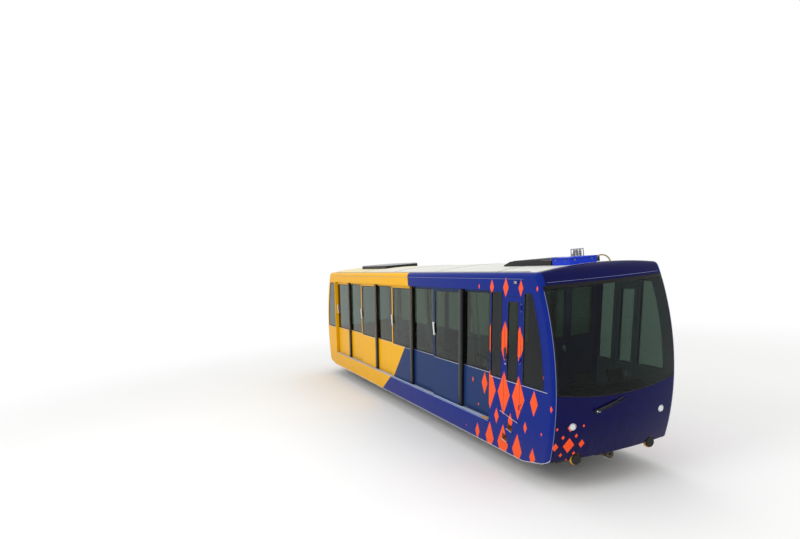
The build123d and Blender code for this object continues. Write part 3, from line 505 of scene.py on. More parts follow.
@dataclass(frozen=True)
class LiveryPaint(Finish):
    """Gloss paint of the sides in both of the car's colours.

    Attributes:
        blue: Screen colour of the blue.
        dust_top: Height up to which dust lies.
        lining_y: Distance from the car's middle inside which the panel is lined in grey.
        lining_z: Height up to which it is.
    """
    blue: str = PAINT_BLUE
    dust_top: float = 1.1
    lining_y: float = 1.170
    lining_z: float = 3.37

    def paint(self, s: Shader) -> None:
        """Paint with dust and faint waves.

        Args:
            s: Shader to lay it in.
        """
        along = s.split(s.add("ShaderNodeTexCoord").outputs["Normal"])[0]
        flat = s.math("LESS_THAN", s.math("ABSOLUTE", along), 0.6)
        paint = s.group(s.effects.livery, {"Blue": srgb(self.blue), "Pieces": flat}).outputs["Color"]
        dust = s.group(s.effects.dust, {"Amount": 0.25, "Top": self.dust_top}).outputs["Mask"]
        grain = s.group(s.effects.grain, {"Scale": 260.0})
        _, y, z = s.split(s.place())
        lined = s.product(s.math("LESS_THAN", s.math("ABSOLUTE", y), self.lining_y), flat,
                          s.math("LESS_THAN", z, self.lining_z))
        paint = s.mix(lined, paint, srgb("AEB4BC"))
        shade = s.mix(s.between(grain.outputs["Coarse"], 0.0, 0.12), paint, srgb("20242C"))
        s.set(Base_Color=s.mix(dust, shade, srgb(DUST)), Roughness=s.between(dust, 0.28, 0.62),
              Specular_IOR_Level=0.035, Coat_Weight=0.02, Coat_Roughness=0.05)
        s.bump(grain.outputs["Fine"], 0.04, 0.0004)


@dataclass(frozen=True)
class PlainPaint(Finish):
    """Gloss or satin paint of one colour.

    Attributes:
        colour: Screen colour.
        gloss: Roughness where it is clean.
        dust: How much dust lies on it.
        dust_top: Height up to which dust lies.
        wear: How much its edges are rubbed.
        coat: Weight of the clear coat.
        shine: Strength of its reflections, 0.5 being full.
    """
    colour: str = "FFFFFF"
    gloss: float = 0.3
    dust: float = 0.4
    dust_top: float = 1.1
    wear: float = 0.0
    coat: float = 0.03
    shine: float = 0.1

    def paint(self, s: Shader) -> None:
        """Paint with colour variation, dust and rubbed edges.

        Args:
            s: Shader to lay it in.
        """
        grain = s.group(s.effects.grain, {"Scale": 240.0})
        colour = s.mix(s.between(grain.outputs["Coarse"], 0.0, 0.14), srgb(self.colour), srgb("26241F"))
        if self.wear:
            worn = s.group(s.effects.wear, {"Amount": self.wear}).outputs["Mask"]
            colour = s.mix(worn, colour, srgb("8E8B86"))
        dust = s.group(s.effects.dust, {"Amount": self.dust, "Top": self.dust_top}).outputs["Mask"]
        s.set(Base_Color=s.mix(dust, colour, srgb(DUST)),
              Roughness=s.between(dust, self.gloss, min(self.gloss + 0.4, 0.9)),
              Specular_IOR_Level=self.shine, Coat_Weight=self.coat, Coat_Roughness=0.06)
        s.bump(grain.outputs["Fine"], 0.06, 0.0004)


@dataclass(frozen=True)
class NosePaint(Finish):
    """Very dark gloss paint of the upper end, with a small corner of the mosaic."""

    def paint(self, s: Shader) -> None:
        """Paint with a deep clear coat.

        Args:
            s: Shader to lay it in.
        """
        x, y, z = s.split(s.place())
        pieces = s.group(s.effects.lozenges, {"Across": y, "Up": z, "Middle Across": -0.90, "Middle Up": 0.80,
                                            "Cell Width": 0.22, "Cell Height": 0.30,
                                            "Reach": 1.6}).outputs["Mask"]
        pieces = s.product(pieces, s.math("GREATER_THAN", x, 0.0))
        grain = s.group(s.effects.grain, {"Scale": 260.0})
        navy = s.mix(grain.outputs["Coarse"], srgb("0E0F4C"), srgb("0A0B3A"))
        colour = s.mix(pieces, navy, srgb("FF5422"))
        dust = s.group(s.effects.dust, {"Amount": 0.3, "Top": 1.2}).outputs["Mask"]
        s.set(Base_Color=s.mix(dust, colour, srgb("5D5446")), Roughness=s.between(dust, 0.18, 0.55),
              Specular_IOR_Level=0.06, Coat_Weight=0.03, Coat_Roughness=0.03)
        s.bump(grain.outputs["Fine"], 0.04, 0.0004)


@dataclass(frozen=True)
class ZonedPaint(Finish):
    """Finish of a node whose parts differ: one colour, and another inside a box.

    Attributes:
        base: Screen colour outside the box.
        other: Screen colour inside it.
        low: Lowest corner of the box.
        high: Highest corner of the box.
        rough: Roughness outside and inside.
        metal: Metallic outside and inside.
    """
    base: str = "1A1A1B"
    other: str = "F8BB14"
    low: Point = (-OPEN, -OPEN, -OPEN)
    high: Point = (OPEN, OPEN, OPEN)
    rough: Pair = (0.55, 0.35)
    metal: Pair = (0.0, 0.0)

    def paint(self, s: Shader) -> None:
        """Both colours with grain, wear and grime.

        Args:
            s: Shader to lay it in.
        """
        inside: object = 1.0
        for value, low, high in zip(s.split(s.place()), self.low, self.high):
            if low > -OPEN:
                inside = s.product(inside, s.math("GREATER_THAN", value, low))
            if high < OPEN:
                inside = s.product(inside, s.math("LESS_THAN", value, high))
        grain = s.group(s.effects.grain, {"Scale": 320.0})
        colour = s.mix(inside, srgb(self.base), srgb(self.other))
        worn = s.group(s.effects.wear, {"Amount": 0.5, "Width": 0.005}).outputs["Mask"]
        colour = s.mix(worn, colour, srgb("7B7771"))
        colour = s.mix(s.product(grain.outputs["Coarse"], 0.18), colour, srgb("2B2823"))
        s.set(Base_Color=colour, Roughness=s.between(inside, *self.rough),
              Metallic=s.between(inside, *self.metal),
              Specular_IOR_Level=0.3)
        s.bump(grain.outputs["Fine"], 0.12, 0.0005)


@dataclass(frozen=True)
class RoofPaint(Finish):
    """Cream roof paint with rain streaks and fine grit."""

    def paint(self, s: Shader) -> None:
        """Satin paint, yellowed towards the lower end.

        Args:
            s: Shader to lay it in.
        """
        place = s.place()
        x, _, _ = s.split(place)
        lower = s.smooth(x, 1.0, -5.6)
        cream = s.mix(lower, srgb("D6D6D0"), srgb("EBDC9E"))
        runs = s.add("ShaderNodeMapping", {"Vector": place, "Scale": (9.0, 0.8, 1.0)}).outputs[0]
        streak = s.smooth(s.noise(runs, 1.6, 6.0, 0.65), 0.48, 0.85)
        grain = s.group(s.effects.grain, {"Scale": 420.0})
        dirty = s.mix(s.product(streak, 0.38), cream, srgb("8F8B80"))
        s.set(Base_Color=s.mix(s.between(grain.outputs["Fine"], 0.0, 0.15), dirty, srgb("77736A")),
              Roughness=s.between(streak, 0.48, 0.8))
        s.bump(grain.outputs["Fine"], 0.15, 0.0005)


@dataclass(frozen=True)
class TintedGlass(Finish):
    """Tinted window glass.

    Attributes:
        tint: Screen colour of the glass.
        smears: Roughness where it is smeared.
    """
    tint: str = "76877B"
    smears: float = 0.03

    def paint(self, s: Shader) -> None:
        """Clear glass with a little smearing.

        Args:
            s: Shader to lay it in.
        """
        smear = s.smooth(s.noise(s.place(), 3.0, 4.0, 0.6), 0.45, 0.8)
        s.set(Base_Color=srgb(self.tint), Roughness=s.between(smear, 0.0, self.smears), Metallic=0.0,
              Transmission_Weight=1.0, IOR=1.2)


@dataclass(frozen=True)
class Rubber(Finish):
    """Black or dark rubber and plastic.

    Attributes:
        colour: Screen colour.
        rough: Mean roughness.
        scale: Grain per metre.
    """
    colour: str = "141416"
    rough: float = 0.6
    scale: float = 700.0

    def paint(self, s: Shader) -> None:
        """Fine-grained surface with a greyish bloom.

        Args:
            s: Shader to lay it in.
        """
        grain = s.group(s.effects.grain, {"Scale": self.scale})
        bloom = s.smooth(grain.outputs["Coarse"], 0.4, 0.75)
        s.set(Base_Color=s.mix(s.product(bloom, 0.10), srgb(self.colour), srgb("6F6E6A")),
              Roughness=s.between(grain.outputs["Coarse"], self.rough - 0.12, self.rough + 0.12),
              Specular_IOR_Level=0.22)
        s.bump(grain.outputs["Fine"], 0.25, 0.0004)


@dataclass(frozen=True)
class Metal(Finish):
    """Bare, brushed or cast metal.

    Attributes:
        colour: Screen colour of the clean metal.
        rough: Mean roughness.
        grime: Screen colour of what lies on it.
        grimy: How much of it is covered, 0 to 1.
        scale: Grain per metre.
    """
    colour: str = "C9CBCD"
    rough: float = 0.3
    grime: str = "4A4038"
    grimy: float = 0.3
    scale: float = 500.0

    def paint(self, s: Shader) -> None:
        """Metal with grime that is rougher and not metallic.

        Args:
            s: Shader to lay it in.
        """
        grain = s.group(s.effects.grain, {"Scale": self.scale})
        cover = s.product(s.smooth(grain.outputs["Coarse"], 0.62 - 0.3 * self.grimy, 0.82), self.grimy)
        s.set(Base_Color=s.mix(cover, srgb(self.colour), srgb(self.grime)),
              Metallic=s.between(cover, 1.0, 0.2),
              Roughness=s.between(s.math("ADD", cover, s.product(grain.outputs["Fine"], 0.2)),
                                  self.rough, min(self.rough + 0.45, 0.95)))
        s.bump(grain.outputs["Fine"], 0.12, 0.0005)


@dataclass(frozen=True)
class WheelSteel(Finish):
    """Wheel and axle steel: bright tread, rusty brown web.

    Attributes:
        axle_x: X of the axle, for the bright ring of the tread.
    """
    axle_x: float = 0.0

    def paint(self, s: Shader) -> None:
        """Rust that stops where the rail rubs.

        Args:
            s: Shader to lay it in.
        """
        place = s.place()
        x, _, z = s.split(place)
        dx, dz = s.math("SUBTRACT", x, self.axle_x), s.math("SUBTRACT", z, AXLE_Z)
        radius = s.math("SQRT", s.math("ADD", s.product(dx, dx), s.product(dz, dz)))
        bright = s.smooth(radius, 0.243, 0.249)
        grain = s.group(s.effects.grain, {"Scale": 380.0})
        rust = s.mix(grain.outputs["Coarse"], srgb("3B2A20"), srgb("6B4630"))
        s.set(Base_Color=s.mix(bright, rust, srgb("B4B2AE")), Metallic=s.between(bright, 0.25, 1.0),
              Roughness=s.between(bright, 0.72, 0.22))
        s.bump(grain.outputs["Fine"], 0.2, 0.0006)


@dataclass(frozen=True)
class StuddedFloor(Finish):
    """Grey rubber floor with small round studs."""

    def paint(self, s: Shader) -> None:
        """Studs by a fine round pattern in plan.

        Args:
            s: Shader to lay it in.
        """
        place = s.place()
        flat = s.add("ShaderNodeMapping", {"Vector": place, "Scale": (1.0, 1.0, 0.0)}).outputs[0]
        cells = s.add("ShaderNodeTexVoronoi", {"Vector": flat, "Scale": 40.0, "Randomness": 0.0})
        stud = s.smooth(cells.outputs["Distance"], 0.42, 0.28)
        grain = s.group(s.effects.grain, {"Scale": 500.0})
        colour = s.mix(grain.outputs["Coarse"], srgb("3A3C3F"), srgb("585A5C"))
        s.set(Base_Color=s.mix(s.product(stud, 0.35), colour, srgb("7B7C7C")), Roughness=0.7)
        s.bump(stud, 0.6, 0.002)


@dataclass(frozen=True)
class Glow(Finish):
    """Lens or lamp cover with fine ribs.

    Attributes:
        colour: Screen colour.
        light: Strength of its own light.
    """
    colour: str = "F2F3F4"
    light: float = 0.0

    def paint(self, s: Shader) -> None:
        """Bright cover over a ribbed pattern.

        Args:
            s: Shader to lay it in.
        """
        ribs = s.add("ShaderNodeTexWave", {"Vector": s.place(), "Scale": 60.0, "Distortion": 0.0},
                     bands_direction="Y").outputs["Fac"]
        s.set(Base_Color=s.mix(ribs, srgb("A8ADB2"), srgb(self.colour)), Roughness=0.14, Metallic=0.35,
              Coat_Weight=1.0, Coat_Roughness=0.02)
        if self.light:
            s.set(Emission_Color=srgb(self.colour), Emission_Strength=self.light)
        s.bump(ribs, 0.3, 0.001)


class Workshop:
    """Makes each finish's material once and turns meshes into pieces."""

    def __init__(self) -> None:
        """Start with the shared effects."""
        self.effects = Effects()
        self.made: dict[str, bpy.types.Material] = {}
        self.count = 0

    def material(self, finish: Finish) -> bpy.types.Material:
        """The finish's material, made the first time it is asked for.

        Args:
            finish: The finish.

        Returns:
            The material.
        """
        if finish.name not in self.made:
            self.made[finish.name] = finish.material(self.effects)
        return self.made[finish.name]

    def dress(self, obj: bpy.types.Object, finish: Finish) -> None:
        """Put a finish on every slot of a CAD node."""
        for slot in obj.material_slots:
            slot.material = self.material(finish)

    def piece(self, name: str, form: "Form", finish: Finish, slot: str = "trim_black",
              body: str = "car") -> None:
        """Turn a form into a piece that rides on a body.

        Args:
            name: Name of the piece.
            form: Its geometry, used up here.
            finish: What it is made of.
            slot: Slot of the record that it belongs to; not used.
            body: CAD body that it moves with.
        """
        mesh = form.bm
        bmesh.ops.recalc_face_normals(mesh, faces=mesh.faces)
        data = bpy.data.meshes.new(name)
        mesh.to_mesh(data)
        mesh.free()
        obj = bpy.data.objects.new(name, data)
        bpy.context.scene.collection.objects.link(obj)
        data.materials.append(self.material(finish))
        data.shade_smooth()
        data.set_sharp_from_angle(angle=math.radians(SMOOTH_ANGLE))
        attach(obj, body)
        self.count += 1


class Form:
    """Geometry made with bmesh's own operators."""

    def __init__(self) -> None:
        """Start empty."""
        self.bm = bmesh.new()

    def join(self, other: bmesh.types.BMesh) -> None:
        """Take in another mesh and free it.

        Args:
            other: Mesh to take in.
        """
        data = bpy.data.meshes.new("part")
        other.to_mesh(data)
        other.free()
        self.bm.from_mesh(data)
        bpy.data.meshes.remove(data)

    def block(self, low: Point, high: Point, bevel: float = 0.0, shear: float = 0.0,
              segments: int = 2) -> None:
        """Box between two corners, its edges rounded, leaning with the posts if sheared.

        Args:
            low: Lowest corner.
            high: Highest corner.
            bevel: Radius of its edges.
            shear: X gained per metre of height, from the lowest corner.
            segments: Faces across each rounded edge.
        """
        bm = bmesh.new()
        size = [b - a for a, b in zip(low, high)]
        middle = [(a + b) / 2 for a, b in zip(low, high)]
        bmesh.ops.create_cube(bm, size=1.0, matrix=Matrix.Translation(middle) @ Matrix.Diagonal((*size, 1.0)))
        if bevel:
            bmesh.ops.bevel(bm, geom=bm.edges, offset=bevel, segments=segments, profile=0.5, affect="EDGES",
                            material=-1)
        if shear:
            for v in bm.verts:
                v.co.x += shear * (v.co.z - low[2])
        self.join(bm)

    def disc(self, centre: Point, radius: float, depth: float, axis: str = "Z", bevel: float = 0.0,
             segments: int = 32, top: float | None = None) -> None:
        """Short round body about an axis.

        Args:
            centre: Its middle.
            radius: Its radius at the low end.
            depth: Its length along the axis.
            axis: X, Y or Z.
            bevel: Radius of its rims.
            segments: Faces round it.
            top: Radius at the high end, if it differs.
        """
        bm = bmesh.new()
        turn = {"X": Matrix.Rotation(math.pi / 2, 4, "Y"), "Y": Matrix.Rotation(-math.pi / 2, 4, "X"),
                "Z": Matrix.Identity(4)}[axis]
        bmesh.ops.create_cone(bm, cap_ends=True, cap_tris=False, segments=segments, radius1=radius,
                              radius2=radius if top is None else top, depth=depth,
                              matrix=Matrix.Translation(centre) @ turn)
        if bevel:
            rims = [e for e in bm.edges if any(len(f.verts) > 4 for f in e.link_faces)]
            bmesh.ops.bevel(bm, geom=rims, offset=bevel, segments=2, profile=0.5, affect="EDGES", material=-1)
        self.join(bm)

    def ring(self, centre: Point, radius: float, thick: float, axis: str = "X", segments: int = 40) -> None:
        """Round ring of round section, turned by spinning a circle.

        Args:
            centre: Its middle.
            radius: Radius of its centre line.
            thick: Radius of its section.
            axis: Axis through it.
            segments: Steps round it.
        """
        bm = bmesh.new()
        bmesh.ops.create_circle(bm, segments=10, radius=thick, matrix=Matrix.Translation((radius, 0, 0))
                                @ Matrix.Rotation(math.pi / 2, 4, "X"))
        bmesh.ops.spin(bm, geom=bm.verts[:] + bm.edges[:], cent=(0, 0, 0), axis=(0, 0, 1), angle=2 * math.pi,
                       steps=segments, use_merge=True)
        turn = {"X": Matrix.Rotation(math.pi / 2, 4, "Y"), "Y": Matrix.Rotation(math.pi / 2, 4, "X"),
                "Z": Matrix.Identity(4)}[axis]
        bmesh.ops.transform(bm, matrix=Matrix.Translation(centre) @ turn, verts=bm.verts)
        self.join(bm)

    def frame(self, corners: Sequence[Pair], y: float, out: float, width: float, proud: float,
              radius: float, grow: float = 0.0) -> None:
        """Flat gasket round an opening in the side.

        Args:
            corners: X and Z of the opening's corners, in order.
            y: Plane that it lies on.
            out: Sign of the outward direction.
            width: Width of the gasket.
            proud: How far it stands out from the plane.
            radius: Radius of its inner corners.
            grow: How far it laps over the edge of the opening.
        """
        bm = bmesh.new()
        face = bm.faces.new([bm.verts.new((x, y, z)) for x, z in rounded(corners, radius)])
        if grow:
            rim = bmesh.ops.inset_region(bm, faces=[face], thickness=-grow, use_boundary=True,
                                         use_even_offset=True)
            bmesh.ops.delete(bm, geom=rim["faces"], context="FACES")
        bmesh.ops.inset_region(bm, faces=[face], thickness=width, use_boundary=True, use_even_offset=True)
        bmesh.ops.delete(bm, geom=[face], context="FACES_ONLY")
        raised = bmesh.ops.extrude_face_region(bm, geom=bm.faces[:])["geom"]
        bmesh.ops.translate(bm, vec=(0, out * proud, 0),
                            verts=[v for v in raised if isinstance(v, bmesh.types.BMVert)])
        self.join(bm)

    def turned(self, profile: Sequence[Pair], centre: Point, axis: str = "Z",
               segments: int = 24) -> None:
        """Round body spun from its profile.

        Args:
            profile: Distance from the axis and place along it, in order.
            centre: Where the profile's zero lies.
            axis: X, Y or Z.
            segments: Steps round it.
        """
        bm = bmesh.new()
        verts = [bm.verts.new((r, 0.0, h)) for r, h in profile]
        edges = [bm.edges.new(pair) for pair in zip(verts, verts[1:])]
        bmesh.ops.spin(bm, geom=verts + edges, cent=(0, 0, 0), axis=(0, 0, 1), angle=2 * math.pi,
                       steps=segments,
                       use_merge=True)
        bmesh.ops.remove_doubles(bm, verts=bm.verts, dist=1e-6)
        turn = {"X": Matrix.Rotation(math.pi / 2, 4, "Y"), "Y": Matrix.Rotation(-math.pi / 2, 4, "X"),
                "Z": Matrix.Identity(4)}[axis]
        bmesh.ops.transform(bm, matrix=Matrix.Translation(centre) @ turn, verts=bm.verts)
        self.join(bm)

    def bolt(self, at: Point, axis: str, size: float = 0.011) -> None:
        """Hexagon bolt head with its washer, standing on a face square to an axis.

        Args:
            at: Middle of the head.
            axis: X, Y or Z.
            size: Radius of the head.
        """
        self.disc(at, size * 1.35, size * 0.4, axis, 0.0, 16)
        self.disc(at, size, size * 1.3, axis, size * 0.12, 6)

    def tube(self, points: Sequence[Sequence[float]], radius: float, closed: bool = False,
             smooth: bool = False,
             sides: int = 3) -> None:
        """Round bar along points.

        Args:
            points: The points that it follows.
            radius: Its radius.
            closed: Whether it returns to its start.
            smooth: Whether it bends smoothly between the points.
            sides: Fineness of its section.
        """
        curve = bpy.data.curves.new("path", "CURVE")
        curve.dimensions = "3D"
        curve.bevel_depth = radius
        curve.bevel_resolution = sides
        curve.use_fill_caps = True
        spline = curve.splines.new("NURBS" if smooth else "POLY")
        spline.points.add(len(points) - 1)
        for p, at in zip(spline.points, points):
            p.co = (*at, 1.0)
        spline.use_cyclic_u = closed
        if smooth:
            spline.use_endpoint_u = not closed
            spline.order_u = 3
        holder = bpy.data.objects.new("path", curve)
        mesh = bpy.data.meshes.new_from_object(holder)
        self.bm.from_mesh(mesh)
        bpy.data.meshes.remove(mesh)
        bpy.data.objects.remove(holder)
        bpy.data.curves.remove(curve)

    def patch(self, at: Callable[[float, float], Vector], steps: tuple[int, int], thick: float) -> None:
        """Curved sheet: a grid laid on a surface and given a thickness.

        Args:
            at: Surface point for u and v from 0 to 1.
            steps: Faces along u and v.
            thick: Its thickness.
        """
        bm = bmesh.new()
        bmesh.ops.create_grid(bm, x_segments=steps[0], y_segments=steps[1], size=0.5)
        for v in bm.verts:
            v.co = at(v.co.x + 0.5, v.co.y + 0.5)
        bmesh.ops.recalc_face_normals(bm, faces=bm.faces)
        bmesh.ops.solidify(bm, geom=bm.faces, thickness=thick)
        self.join(bm)


GLASS = TintedGlass("window_glass")
SCREEN = TintedGlass("windscreen_glass", "7E8F8B", 0.0)
SEAL = Rubber("seal_rubber", "121214", 0.55)
FRIT = PlainPaint("black_glass_edge", "0A0B0D", 0.22, 0.1, 1.0, 0.0, 0.0, 0.2)
LIVERY = LiveryPaint("side_paint")
DOOR_PAINT = LiveryPaint("door_paint", DOOR_BLUE, 1.1, 1.080)
PANEL_PAINT = LiveryPaint("panel_paint", DOOR_BLUE, 1.1, 1.030)
NAVY = NosePaint("nose_paint")
YELLOW = PlainPaint("yellow_paint", PAINT_YELLOW, 0.26, 0.3, 1.1, 0.0, 0.02, 0.04)
TRIM = Metal("silver_trim", "D5D7DA", 0.32, "77736B", 0.2)
# Light blue of the tread plate: a painted reflection of the sky on the metal
TREAD_REFLECTION_PAINT = PlainPaint("tread_plate", "BFD0F0", 0.35, 0.25, 1.4)
DARK = Rubber("dark_trim", "1B1B1D", 0.42)
CUP = PlainPaint("buffer_yellow", BUFFER_YELLOW, 0.35, 0.6, 1.2, 0.5)
WHITE = PlainPaint("grip_white", "F1F0EA", 0.3, 0.1, 0.5)
CHROME = Metal("polished_steel", "E4E5E7", 0.12, "8B8680", 0.1)
OCHRE = PlainPaint("toe_hold_ochre", "B06A1E", 0.45, 0.8, 1.6, 0.6)
LILAC = Metal("lilac_line", "8C93BE", 0.42, "4B4A5C", 0.2)
SILVER = Metal("unit_cover", "B4B7B9", 0.42, "6C675F", 0.35)
PIPE = Metal("pipe_steel", "8D8B86", 0.42, "4A4038", 0.6)
BOLT = Metal("bolt_steel", "A5A29B", 0.35, "5A4634", 0.5)
PORCELAIN = PlainPaint("insulator_glaze", "4A2E22", 0.15, 0.1, 0.5, 0.0, 0.4, 0.5)
LINING = PlainPaint("ceiling_lining", "D4D6D8", 0.5, 0.0, 0.5)
LAMP = Glow("ceiling_lamp", "FFFFFF", 2.2)
PLASTIC = Rubber("console_plastic", "26282C", 0.45, 520.0)
DISPLAY = PlainPaint("display_glass", "0D1418", 0.1, 0.0, 0.5, 0.0, 0.5, 0.5)
RED = PlainPaint("button_red", "B81E18", 0.3, 0.0, 0.5)
FRAME = PlainPaint("frame_black", "1D1D1F", 0.5, 1.0, 1.1, 0.7, 0.0)
CAST = PlainPaint("cast_frame", "262524", 0.6, 1.3, 1.0, 0.8, 0.0)


class Skin:
    """Finds the CAD surface from outside, so that fittings sit on it exactly."""

    OUTER = ("front_mask", "front_windscreen", "front_brow", "rear_mask", "rear_windscreen", "rear_brow",
             "roof",
             "near_cab_side", "far_cab_side", "near_rear_side", "far_rear_side", "near_cantrail",
             "far_cantrail")

    def __init__(self, nodes: dict[str, bpy.types.Object], names: Sequence[str] = OUTER) -> None:
        """Join the named nodes into one search tree.

        Args:
            nodes: CAD objects by name.
            names: Nodes that count as surface.
        """
        bm = bmesh.new()
        for name in names:
            bm.from_mesh(nodes[name].data)
        self.tree = BVHTree.FromBMesh(bm)
        bm.free()

    def hit(self, start: Point, way: Point) -> Vector:
        """First surface point from start along way."""
        return self.tree.ray_cast(Vector(start), Vector(way))[0]

    def end(self, way: int, y: float, z: float) -> Vector:
        """Point on the upper end (way 1) or the lower end (way -1)."""
        return self.hit((way * 9.0, y, z), (-way, 0.0, 0.0))

    def side(self, sign: int, x: float, z: float) -> Vector:
        """Point on one side."""
        return self.hit((x, sign * 3.0, z), (0.0, -sign, 0.0))

    def top(self, x: float, y: float) -> Vector:
        """Point on the roof."""
        return self.hit((x, y, 5.0), (0.0, 0.0, -1.0))


def side_nodes(name: str) -> list[str]:
    """The same node on both sides."""
    return [f"{side.word}_{name}" for side in Side]


@dataclass
class CadDress:
    """Gives every CAD node its material.

    Attributes:
        shop: Where materials are made.
        nodes: The frame's CAD objects.
    """
    shop: Workshop
    nodes: dict[str, bpy.types.Object]

    def plan(self) -> dict[str, Finish]:
        """Finish of each node.

        Returns:
            Finishes by node.
        """
        table: dict[str, Finish] = {
            "front_mask": NAVY, "front_brow": NAVY, "rear_mask": YELLOW, "rear_brow": YELLOW,
            "front_windscreen": SCREEN, "rear_windscreen": SCREEN,
            "side_glass": GLASS, "bulkhead_glass": GLASS,
            "buffers": ZonedPaint("buffer_parts", "151517", BUFFER_YELLOW, (-6.787, -2.0, 0.0),
                                  (6.487, 2.0, 2.0)),
            "end_lamps": Glow("lamp_lens"), "wipers": DARK,
            "roof": RoofPaint("roof_paint"), "stepped_floor": StuddedFloor("floor_covering"),
            "underframe": FRAME, "brake_power_pack": FRAME, "rope_socket": CAST,
            "cab_bulkhead": PlainPaint("bulkhead_blue", "22387A", 0.42, 0.1, 1.0),
            "driver_desk": Rubber("desk_plastic", "2A2C30", 0.5, 500.0),
            "benches": Rubber("seat_shell", "3B4A72", 0.42, 380.0), "grab_poles": CHROME,
            "roof_box": PlainPaint("roof_blue", "1538C8", 0.3, 0.1, 1.0, 0.4),
            "roof_vents": ZonedPaint("roof_unit_parts", "171718", "A7AAAC", (-OPEN, -OPEN, 3.648),
                                     (0.0, OPEN, OPEN), (0.5, 0.4), (0.0, 0.6)),
            "current_collector": ZonedPaint("collector_parts", "A9ACAF", "A58F66", (6.29, -OPEN, -OPEN),
                                            (OPEN, OPEN, OPEN), (0.4, 0.6), (0.8, 0.0)),
            "upper_bogie": CAST, "lower_bogie": CAST,
        }
        for name in ("side_skirt", "cantrail", "cab_side", "rear_side", "cab_door"):
            table.update(dict.fromkeys(side_nodes(name), LIVERY))
        table.update(dict.fromkeys(side_nodes("fixed_panels"), PANEL_PAINT))
        for k in range(1, MODULES + 1):
            table.update(dict.fromkeys(side_nodes(f"door_{k}"), DOOR_PAINT))
            table.update(dict.fromkeys(side_nodes(f"door_glass_{k}"), GLASS))
        table.update(dict.fromkeys(side_nodes("cab_door_glass"), GLASS))
        for end, centre in BOGIES:
            for label, way in AXLES:
                x = centre + way * AXLE_REACH
                table[f"{end}_wheelset_{label}"] = WheelSteel(f"wheel_steel_{end}_{label}", x)
        return table

    def build(self) -> int:
        """Dress the nodes.

        Returns:
            How many there were.
        """
        plan = self.plan()
        for name, obj in self.nodes.items():
            self.shop.dress(obj, plan[name])
        return len(self.nodes)


@dataclass
class Fitting:
    """A group of pieces.

    Attributes:
        shop: Where they are made.
    """
    shop: Workshop


def sill_strip(form: Form, k: int, s0: float, s1: float, y: float, sign: int) -> None:
    """Thin bright strip under a side window.

    Args:
        form: Mesh that it goes into.
        k: Door post that s0 and s1 are measured from.
        s0: Start of the strip.
        s1: End of the strip.
        y: Plane that it lies on.
        sign: Outward direction.
    """
    low, high = BELT_Z - 0.020, BELT_Z - 0.012
    y0, y1 = sorted((y - sign * 0.001, y + sign * 0.0035))
    form.block((bar_x(k, low, s0), y0, low), (bar_x(k, low, s1), y1, high), 0.001, LEAN)


def leaning(k: int, start: float, end: float, top: float) -> list[Pair]:
    """Corners of a leaning window, as X and Z, between two places from door post k."""
    return [(bar_x(k, z, s), z) for s, z in ((start, BELT_Z), (end, BELT_Z), (end, top), (start, top))]


